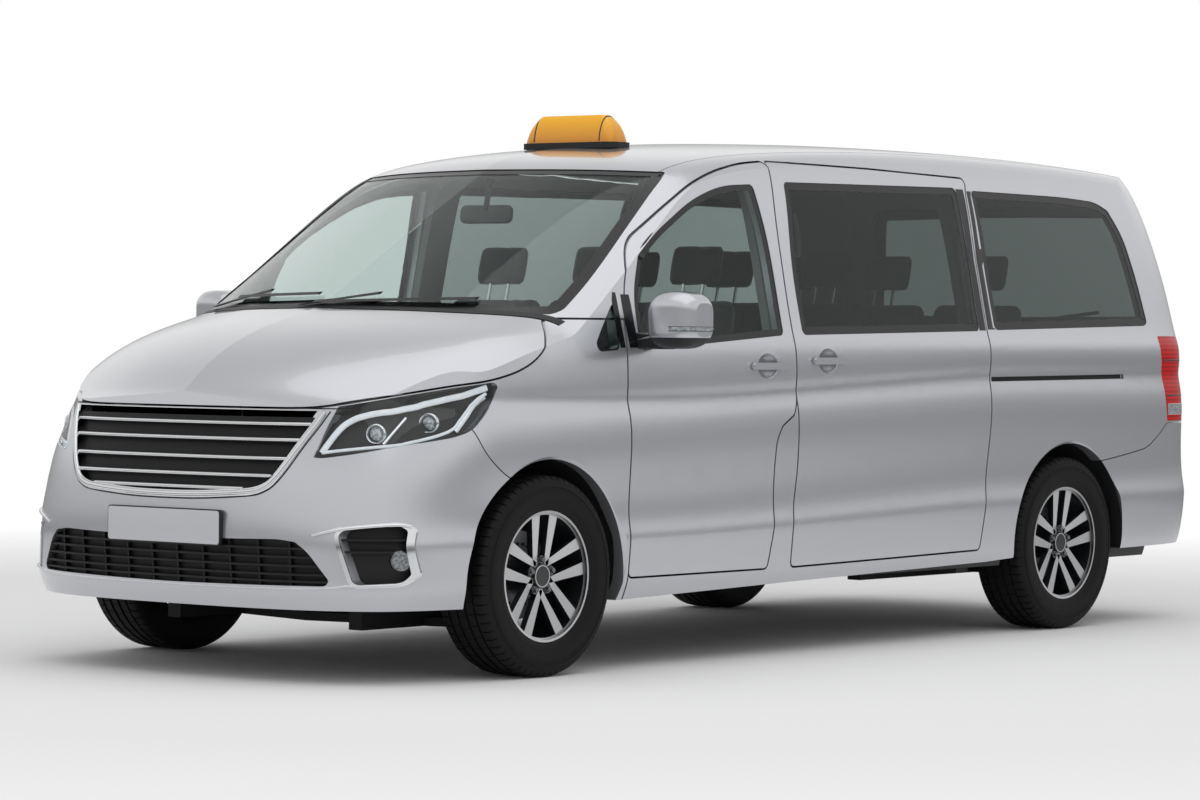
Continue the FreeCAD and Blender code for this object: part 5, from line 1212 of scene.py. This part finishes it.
def rim_tests(side, across, along):
    """Which faces of a rim the lathe reaches, and which are its brake disc."""
    def measured(centre):
        return np.hypot(centre[:, 1] - along, centre[:, 2] - WHEEL_HEIGHT), side * centre[:, 0] - across

    def outside(normal, centre):
        reach, face = measured(centre)
        return ((side * normal[:, 0] > LATHE_FACING) & (face > HUB_FACE + LATHE_MARGIN)
                & (reach > HUB_RADIUS - MM))

    def on_the_disc(normal, centre):
        reach, face = measured(centre)
        return (face < DISC_FACE) & (reach > HUB_RADIUS) & (reach < DISC_RADIUS)

    return outside, on_the_disc


def finish_wheels():
    """Detailed tyres, and rims with machined spoke faces over black pockets."""
    tyre = joined(carcass(), sidewall(), tread())
    tongues = repeated(ROUND_AXLE, spoke_tongue(), ALLOY, {"Count": SPOKES, "Start": 0.0})
    bolts = repeated(ROUND_AXLE, wheel_bolt(), STEEL, {"Count": SPOKES, "Start": 0.0})
    # Black spots at the disc's drilled holes: painted shade inside them
    hole = moved(turned(scaled_down(DISC_HOLE_SHADE), 10), Matrix.Translation((0, 0, HOLE_CIRCLE)))
    holes = repeated(ROUND_AXLE, hole, BLACK_DEEP, {"Count": HOLES, "Start": HOLE_START})
    cap_ring = turned(scaled_down(CAP_RING), 48)
    caliper = turned(scaled_down(CALIPER), 16, *CALIPER_ARC)
    for corner, (side, across, along, knuckle) in WHEELS.items():
        wheel = "wheel_" + corner
        made = finished("tyre_detail_" + corner, at_wheel(tyre, corner), TYRE, wheel, STRIP_ANGLE)
        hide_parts("tyre_" + corner)
        finished("spoke_faces_" + corner, at_wheel(tongues, corner), ALLOY, wheel)
        finished("wheel_bolts_" + corner, at_wheel(bolts, corner), STEEL, wheel)
        finished("cap_ring_" + corner, at_wheel(cap_ring, corner), ALLOY, wheel)
        finished("disc_hole_shade_" + corner, at_wheel(holes, corner), BLACK_DEEP, wheel)
        finished("brake_caliper_" + corner, at_wheel(caliper, corner), CAST, knuckle,
                 bevel=CALIPER_BEVEL)
        outside, on_the_disc = rim_tests(side, across, along)
        finish_node("rim_" + corner, WHEEL_BLACK, (ALLOY, outside), (STEEL, on_the_disc))


def along_line(line, share):
    """The point at this share of a line's length."""
    points = np.array(line, float)
    runs = np.concatenate([[0], np.cumsum(np.linalg.norm(np.diff(points, axis=0), axis=1))])
    return Vector([np.interp(share * runs[-1], runs, points[:, k]) for k in range(3)]) * MM


def lamp_spot(tree, along, up, depth):
    """A place in the left headlamp: shares along it and up it, and how deep behind its lens."""
    guess = along_line(LAMP_LOW, along).lerp(along_line(LAMP_HIGH, along), up)
    spot, normal, face, far = tree.find_nearest(guess)
    return spot - normal * depth, normal


def lamp_strip(tree, line, width, depth):
    """A light guide or bar that follows a line in the lamp."""
    spots = [lamp_spot(tree, along, up, depth)
             for along, up, flat in softened([(along, up, 0) for along, up in line])]
    points, normals = spread([p for p, n in spots], LINE_STEP, normals=[n for p, n in spots])
    return strip(points, normals, flat_section(width, LAMP_STRIP_HIGH))


def lamp_housing(tree):
    """The black dish behind the lens: a floor with walls that come up to the lens."""
    front, back = [], []
    for i in range(HOUSING_COLUMNS + 1):
        along = HOUSING_START + HOUSING_REACH * i / HOUSING_COLUMNS
        share = 1.0 if 0 < i < HOUSING_COLUMNS else HOUSING_END_SHARE
        for layer, shell in ((front, 0.0), (back, HOUSING_SHELL)):
            layer.append([lamp_spot(tree, along, up, depth * share + shell)[0]
                          for up, depth in HOUSING_ROW])
    return closed_sheet(front, back)


def projector(tree, along, up):
    """A projector lamp: a ring and a bulging lens that look forward and a little outward."""
    centre, normal = lamp_spot(tree, along, up, LAMP_DEPTH - PROJECTOR_SINK)
    turn = Vector((1, 0, 0)).rotation_difference(Vector(PROJECTOR_AIM).normalized())
    place = Matrix.Translation(centre) @ turn.to_matrix().to_4x4()
    return [moved(turned([(x, PROJECTOR_RADIUS * share) for x, share in section], 40), place)
            for section in (PROJECTOR_RING, PROJECTOR_LENS)]


def build_headlamps():
    """Behind the clear lens: a black housing, white guides, chrome bars and two projectors."""
    tree = skin_tree(["headlamps"], lambda n, c: from_middle(n, c) & (c[:, 0] > 0))
    finished("lamp_housings", both_sides(lamp_housing(tree)), BLACK_DEEP, "root",
             STRIP_ANGLE)
    guides = joined(*[lamp_strip(tree, *guide) for guide in LAMP_GUIDES])
    finished("lamp_guides", both_sides(guides), GUIDE, "root", BEAD_ANGLE)
    rings, lenses = zip(*[projector(tree, along, up) for along, up in PROJECTORS])
    bars = joined(*[lamp_strip(tree, *bar) for bar in LAMP_BARS], *rings)
    finished("lamp_bars", both_sides(bars), CHROME_TRIM, "root", BEAD_ANGLE)
    finished("lamp_projectors", both_sides(joined(*lenses)), OPTIC, "root", BEAD_ANGLE)


def edge_loops(name, facing):
    """The edges of a node's outer skin as closed lines, each with the skin's normals."""
    skin = bmesh.new()
    skin.from_mesh(NODES[name].data)
    bmesh.ops.remove_doubles(skin, verts=skin.verts, dist=WELD)
    skin.normal_update()
    normals = np.array([tuple(f.normal) for f in skin.faces])
    centres = np.array([tuple(f.calc_center_median()) for f in skin.faces])
    kept = facing(normals, centres)
    inside = [f for f, keep in zip(list(skin.faces), kept) if not keep]
    bmesh.ops.delete(skin, geom=inside, context="FACES")
    skin.normal_update()
    following = {}
    for edge in skin.edges:
        if edge.is_boundary:
            corner = edge.link_loops[0]
            following[corner.vert] = corner.link_loop_next.vert
    loops = []
    while following:
        start, now = following.popitem()
        line = [start]
        while now in following:
            line.append(now)
            now = following.pop(now)
        if now is start and len(line) > LEAST_LOOP:
            loops.append(([v.co.copy() for v in line], [v.normal.copy() for v in line]))
    skin.free()
    return loops


def loop_length(loop):
    """How long an edge loop is."""
    return sum((a - b).length for a, b in zip(loop[0], loop[0][1:]))


def edge_band(loop, width, high, low, start=0.0):
    """A band along an edge loop, from the edge inwards."""
    points, normals = spread(loop[0], LINE_STEP, True, loop[1])
    middle = sum(points, Vector()) / len(points)
    inward = 0.0
    for i, point in enumerate(points):
        ahead = points[(i + 1) % len(points)] - points[i - 1]
        inward += ahead.normalized().cross(normals[i]).dot(middle - point)
    section = flat_section(width, high, low, start)
    if inward < 0:
        section = [(-wide, up) for wide, up in reversed(section)]
    return strip(points, normals, section, True)


def build_window_edges():
    """Fired black borders on each pane, and the rubber seal in the gap round it."""
    facings = {"windscreen": windscreen_skin, "tailgate_glass": backwards}
    for name, (width, body) in BORDERS.items():
        loops = edge_loops(name, facings.get(name, outwards))
        bands = [edge_band(loop, min(width, BORDER_SHARE * loop_length(loop)), BORDER_SKIN, -BORDER_SKIN)
                 for loop in loops]
        finished(name + "_border", joined(*bands), FRIT, body, BORDER_ANGLE)
        seals = [edge_band(loop, *SEAL_BAND) for loop in loops]
        finished(name + "_seal", joined(*seals), SEAL, body, BORDER_ANGLE)


def build_plates():
    """Blank plates front and rear, each on a dark holder."""
    wide, tall, thick = PLATE_SIZE
    sheet = prism(round_outline(wide, tall, PLATE_CORNER), thick)
    rim = prism(round_outline(wide + 2 * HOLDER_LIP, tall + 2 * HOLDER_LIP, HOLDER_CORNER), HOLDER_DEPTH)
    rim = moved(rim, Matrix.Translation((0, HOLDER_SET_BACK, 0)))
    for name, place, turn, body in (("front", FRONT_PLATE, 0.0, "root"),
                                    ("rear", REAR_PLATE, math.pi, "tailgate")):
        put = Matrix.Translation(place) @ Matrix.Rotation(turn, 4, "Z")
        finished(name + "_plate", moved(sheet, put), PLATE, body,
                 bevel=PLATE_BEVEL)
        finished(name + "_plate_holder", moved(rim, put), BLACK_SATIN, body,
                 bevel=FINE_BEVEL)


def signal_strip(side, name):
    """A clear signal lamp round the outer front of a mirror's shell, in a dark edge."""
    tree = skin_tree(["mirror_" + name], lambda n, c: c[:, 2] > SHELL_FOOT)
    across, along, height = SIGNAL_CENTRE
    turns = [math.radians(SIGNAL_START - SIGNAL_SWEEP * i / SIGNAL_STEPS) for i in range(SIGNAL_STEPS + 1)]
    ways = [Vector((side * math.cos(turn), -math.sin(turn), SIGNAL_RISE)) for turn in turns]
    points, normals = fanned(tree, Vector((side * across, along, height)), ways, SIGNAL_STEP)
    lens = strip(points, normals, flat_section(*SIGNAL_LENS))
    finished("mirror_signal_" + name, lens, OPTIC, "door_" + name, STRIP_ANGLE)
    edge = strip(points, normals, flat_section(*SIGNAL_EDGE))
    finished("mirror_signal_edge_" + name, edge, BLACK_GLOSS, "door_" + name, STRIP_ANGLE)


def build_mirrors():
    """Mirror glass, and a signal strip along the outside of each shell."""
    sides = ((1, "left"), (-1, "right"))
    for side, name in sides:
        signal_strip(side, name)
    sheet = prism(round_outline(*MIRROR_SHEET), MIRROR_SHEET_DEPTH)
    for side, name in sides:
        low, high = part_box("mirror_" + name)
        put = Matrix.Translation(((low.x + high.x) / 2 + side * MIRROR_SHEET_OUT,
                                  high.y + MIRROR_SHEET_LIFT, MIRROR_SHEET_HEIGHT))
        finished("mirror_glass_" + name, moved(sheet, put), MIRROR_GLASS, "door_" + name,
                 bevel=GLASS_BEVEL)


def build_sign():
    """Thin black bands over both ends of the sign's dome."""
    low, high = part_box("taxi_sign")
    tree = skin_tree(["taxi_sign"], lambda n, c: n[:, 2] > DOME_FACING)
    out, along = SIGN_FAN
    turns = [math.pi * i / SIGN_STEPS for i in range(SIGN_STEPS + 1)]
    bands = []
    for side in (-1, 1):
        start = Vector((side * high.x * SIGN_BAND_PLACE, (low.y + high.y) / 2, low.z + SIGN_BAND_FOOT))
        ways = [Vector((side * out, -math.cos(turn) * along, math.sin(turn))) for turn in turns]
        points, normals = fanned(tree, start, ways, SIGN_STEP)
        bands.append(strip(points, normals, flat_section(*SIGN_BAND)))
    finished("sign_bands", joined(*bands), BLACK_SATIN, "root", STRIP_ANGLE)


def pad_shape(size, form):
    """A closed pad about its middle: rounded sides and a crowned top, ready to be filled."""
    wide, deep, tall = (side - 2 * PAD_ROOM for side in size)
    crown, corner, pinch = form
    pad = bmesh.new()
    bmesh.ops.create_cube(pad, size=1.0)
    bmesh.ops.subdivide_edges(pad, edges=pad.edges, cuts=7, use_grid_fill=True)
    for vert in pad.verts:
        x, y, z = (2 * c for c in vert.co)
        swell = (1 - abs(x) ** corner) * (1 - abs(y) ** corner)
        pull = 1 - pinch * (abs(x) ** 4 + abs(y) ** 4) * (abs(z) ** 2)
        rise = 1 - crown + crown * swell
        vert.co = Vector((x * wide / 2 * pull, y * deep / 2 * pull, z * tall / 2 * rise))
    points = [v.co.copy() for v in pad.verts]
    faces = [tuple(v.index for v in f.verts) for f in pad.faces]
    pad.free()
    return points, faces


def filled(shape, cap):
    """The pad as its cloth settles when foam presses out against it, by simulation."""
    mesh = bpy.data.meshes.new("pad")
    mesh.from_pydata([tuple(p) for p in shape[0]], [], shape[1])
    made = bpy.data.objects.new("pad", mesh)
    bpy.context.scene.collection.objects.link(made)
    smooth = made.modifiers.new("round", "SUBSURF")
    smooth.levels = smooth.render_levels = 1
    voxels = made.modifiers.new("even", "REMESH")
    voxels.mode = "VOXEL"
    voxels.voxel_size = PAD_VOXEL
    grown = made.evaluated_get(bpy.context.evaluated_depsgraph_get())
    even = bpy.data.meshes.new_from_object(grown)
    made.modifiers.clear()
    made.data = even
    rest = [v.co.copy() for v in even.vertices]
    faces = [tuple(p.vertices) for p in even.polygons]
    cloth = made.modifiers.new("cloth", "CLOTH")
    cloth.settings.use_pressure = True
    cloth.settings.uniform_pressure_force = PAD_PRESSURE
    cloth.settings.effector_weights.gravity = 0.0
    cloth.point_cache.frame_end = PAD_FRAMES
    for step in range(1, PAD_FRAMES + 1):
        bpy.context.scene.frame_set(step)
    settled = made.evaluated_get(bpy.context.evaluated_depsgraph_get())
    soft = [v.co.copy() for v in settled.data.vertices]
    made.modifiers.clear()
    bpy.context.scene.frame_set(1)
    rest = [a + (b - a).normalized() * min((b - a).length, cap) if (b - a).length > 0 else a
            for a, b in zip(rest, soft)]
    bpy.data.objects.remove(made)
    return rest, faces


def sized(shape, across):
    """The shape made wider or narrower across the car."""
    return [Vector((p.x * across, p.y, p.z)) for p in shape[0]], shape[1]


def pad_seams(pad, lines):
    """Sewn cord on a pad, laid on it from above along lines given in its own plan."""
    tree = BVHTree.FromPolygons(*pad)
    evens = [spread(softened([(x, y, 0) for x, y in line]), LINE_STEP) for line in lines]
    return joined(*[laid_strip(tree, even, (0, 0, -1), flat_section(*SEAM_CORD)) for even in evens])


def build_seats():
    """Nine seats: foam-filled cushions, leaning backs and headrests, with corded seams, on plinths."""
    deep, thick = CUSHION_SIZE
    back_thick, back_tall = BACK_SIZE
    head_wide, head_deep, head_tall = HEADREST_SIZE
    cushion = filled(pad_shape((SEAT_WIDTH, deep, thick), CUSHION_FORM), SEAT_SWELL)
    back = filled(pad_shape((SEAT_WIDTH, back_tall, back_thick), BACK_FORM), SEAT_SWELL)
    head = filled(pad_shape((head_wide, head_tall, head_deep), HEADREST_FORM), HEADREST_SWELL)
    seat_cords, back_cords = pad_seams(cushion, CUSHION_SEAMS), pad_seams(back, BACK_SEAMS)
    rod = turned(ROD_SECTION, 14)
    stand = Matrix.Rotation(math.radians(90), 4, "X")
    upright = Matrix.Rotation(math.radians(-90), 4, "Y")
    lean_back = Matrix.Rotation(math.radians(-BACK_LEAN), 4, "X")
    for name, (middle, wide, foot, places) in SEAT_ROWS.items():
        pads, cords, rods, plinths = [], [], [], []
        across = wide / SEAT_WIDTH
        outline = round_outline(wide * PLINTH_SHARE, SEAT_BASE - SEAT_FLOOR - PLINTH_GAP, PLINTH_CORNER)
        plinth = prism(outline, PLINTH_DEPTH)
        for i in range(places):
            x = middle + (i - (places - 1) / 2) * (wide + SEAT_PITCH_GAP)
            low = Matrix.Translation((x, foot - deep / 2 + CUSHION_SET_FORWARD, SEAT_BASE + thick / 2))
            lean = Matrix.Translation((x, foot, SEAT_BASE + thick / 2)) @ lean_back
            tall = lean @ Matrix.Translation((0, back_thick / 2, back_tall / 2)) @ stand
            top = lean @ Matrix.Translation((0, HEADREST_SET_BACK + head_deep / 2,
                                             back_tall + head_tall * HEADREST_RISE)) @ stand
            pads += [moved(sized(cushion, across), low), moved(sized(back, across), tall), moved(head, top)]
            cords += [moved(sized(seat_cords, across), low), moved(sized(back_cords, across), tall)]
            for place in ROD_PLACES:
                foot_of_rod = Matrix.Translation((place, ROD_SET_BACK, back_tall - ROD_SINK))
                rods.append(moved(rod, lean @ foot_of_rod @ upright))
            plinths.append(moved(plinth, Matrix.Translation(
                (x, foot - PLINTH_FORWARD, (SEAT_BASE + SEAT_FLOOR) / 2))))
        made = finished(name + "_pads", joined(*pads), CLOTH, "root", PAD_ANGLE)
        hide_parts(name)
        finished(name + "_cords", joined(*cords), PIPING, "root", BEAD_ANGLE)
        finished(name + "_rods", joined(*rods), CHROME_TRIM, "root", STRIP_ANGLE)
        finished(name + "_plinths", joined(*plinths), FASCIA, "root", STRIP_ANGLE,
                 PLINTH_BEVEL)


def build_steering_wheel():
    """A padded rim and a hub on the column, and three arms."""
    lean = math.radians(STEERING_TILT)
    axis = Vector((0, math.cos(lean), math.sin(lean)))
    across = Vector((1, 0, 0))
    place = Matrix.Translation(STEERING_CENTRE)
    place = place @ Matrix((axis, across, axis.cross(across))).transposed().to_4x4()
    turns = [math.radians(angle) for angle in range(0, 360, 20)]
    rim = turned([(STEERING_GRIP * math.cos(turn), STEERING_RADIUS + STEERING_GRIP * math.sin(turn))
                  for turn in turns], 96)
    body = joined(rim, turned(scaled_down(STEERING_HUB), 40), turned(scaled_down(STEERING_TUBE), 24))
    made = finished("steering_grip", moved(body, place), FASCIA, "steering_wheel", BEAD_ANGLE)
    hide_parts("steering_wheel")
    points = spread(softened(STEERING_ARM_LINE), LINE_STEP)
    arms = []
    for angle, wide in STEERING_ARMS:
        arm = strip(points, [Vector((1, 0, 0))] * len(points), flat_section(wide, *STEERING_ARM_SKIN))
        arms.append(moved(arm, Matrix.Rotation(math.radians(angle), 4, "X")))
    finished("steering_arms", moved(joined(*arms), place), BLACK_GLOSS, "steering_wheel",
             BEAD_ANGLE, FINE_BEVEL)


def build_fascia():
    """A hood over the place of the dials, a centre screen, air vents and the interior mirror."""
    panel = NODES["dashboard"].data
    tree = BVHTree.FromPolygons([v.co.copy() for v in panel.vertices],
                                [tuple(p.vertices) for p in panel.polygons])
    wide, deep = HOOD_ARC
    arc = [(STEERING_CENTRE.x + wide * math.sin(turn), HOOD_MIDDLE + deep * math.cos(turn), HOOD_HEIGHT)
           for turn in np.linspace(-HOOD_SWEEP, HOOD_SWEEP, HOOD_POINTS)]
    spots, normals = laid(tree, arc, (0, 0, -1))
    hood = strip(spots, [Vector((0, 0, 1))] * len(spots), flat_section(*HOOD_SECTION))
    finished("dial_hood", hood, FASCIA, "root", BEAD_ANGLE, HOOD_BEVEL)
    screen = prism(round_outline(*SCREEN_SIZE), SCREEN_DEPTH)
    put = Matrix.Translation(SCREEN_PLACE) @ Matrix.Rotation(SCREEN_LEAN, 4, "X")
    finished("centre_screen", moved(screen, put), BLACK_GLOSS, "root", bevel=FINE_BEVEL)
    fin = prism(round_outline(*VENT_FIN), VENT_DEPTH)
    fins = repeated(IN_A_ROW, fin, BLACK_SATIN, {"Count": VENT_FINS, "Step": (0, 0, VENT_STEP)})
    for x in VENTS:
        finished("vent_fins_%d" % round(x * 100 + 100), moved(fins, Matrix.Translation((x, *VENT_PLACE))),
                 BLACK_SATIN, "root")
    glass = prism(round_outline(*INNER_MIRROR), INNER_MIRROR_DEPTH)
    put = Matrix.Translation(INNER_MIRROR_PLACE) @ Matrix.Rotation(INNER_MIRROR_LEAN, 4, "X")
    finished("interior_mirror", moved(glass, put), BLACK_SATIN, "root",
             bevel=INNER_MIRROR_BEVEL)
    rise = Matrix.Translation(STEM_PLACE) @ Matrix.Rotation(math.radians(STEM_TURN), 4, "Y")
    finished("interior_mirror_stem", moved(turned(STEM_SECTION, 20), rise), BLACK_SATIN, "root")


def lamp_band(tree, height, tall):
    """A thin strip round the left tail lamp at one height, held back from both its ends."""
    spots, normals = [], []
    for share in np.linspace(0, 1, TAIL_STEPS + 1):
        spot, normal, face, far = tree.find_nearest(Vector((
            TAIL_START[0] + TAIL_REACH[0] * share, TAIL_START[1] + TAIL_REACH[1] * share ** 2, height)))
        if abs(spot.z - height) < TAIL_STRIP_NEAR:
            spots.append(spot)
            normals.append(normal)
    spots, normals = spread(spots, TAIL_STRIP_STEP, normals=normals)
    inner = slice(TAIL_STRIP_ENDS, -TAIL_STRIP_ENDS)
    return strip(spots[inner], normals[inner], flat_section(tall, *TAIL_STRIP_SKIN))


def across_tail(tree, ends, steps, section, lift=0.0):
    """A strip laid from behind along a straight line between two places across and heights."""
    start, end = ((x, 0, z) for x, z in ends)
    return laid_strip(tree, between(start, end, steps), (0, -1, 0), flat_section(*section), lift)


def build_tail():
    """Pale lenses and dark dividers on the tail lamps, a high brake light, the rear wiper and a bar."""
    tree = skin_tree(["tail_lamps"], lambda n, c: from_middle(n, c) & (c[:, 0] > 0))
    pale = lamp_band(tree, *REVERSE_LENS)
    slim = joined(*[lamp_band(tree, *divider) for divider in TAIL_DIVIDERS])
    finished("reverse_lenses", both_sides(pale), OPTIC, "root", STRIP_ANGLE)
    finished("tail_dividers", both_sides(slim), BLACK_GLOSS, "root", STRIP_ANGLE)
    gate, pane = skin_tree(["tailgate"], backwards), skin_tree(["tailgate_glass"], backwards)
    light = across_tail(gate, BRAKE_LIGHT, BRAKE_LIGHT_STEPS, BRAKE_LIGHT_SECTION)
    finished("high_brake_light", light, RED, "tailgate", STRIP_ANGLE, FINE_BEVEL)
    wiper = across_tail(pane, WIPER_ARM, WIPER_STEPS, WIPER_SECTION, WIPER_LIFT)
    finished("rear_wiper", wiper, BLACK_SATIN, "tailgate", STRIP_ANGLE, FINE_BEVEL)
    bar = across_tail(gate, GATE_BAR, GATE_BAR_STEPS, GATE_BAR_SECTION)
    finished("tailgate_bar", bar, CHROME_TRIM, "tailgate", STRIP_ANGLE, GATE_BAR_BEVEL)


camera()
world_light()
soft_box()
studio_floor()
finish_body()
finish_wheels()
build_nose_trim()
build_headlamps()
build_side_trim()
build_window_edges()
build_plates()
build_mirrors()
build_sign()
build_seats()
build_steering_wheel()
build_fascia()
build_tail()

bpy.context.scene.view_settings.view_transform = "Standard"
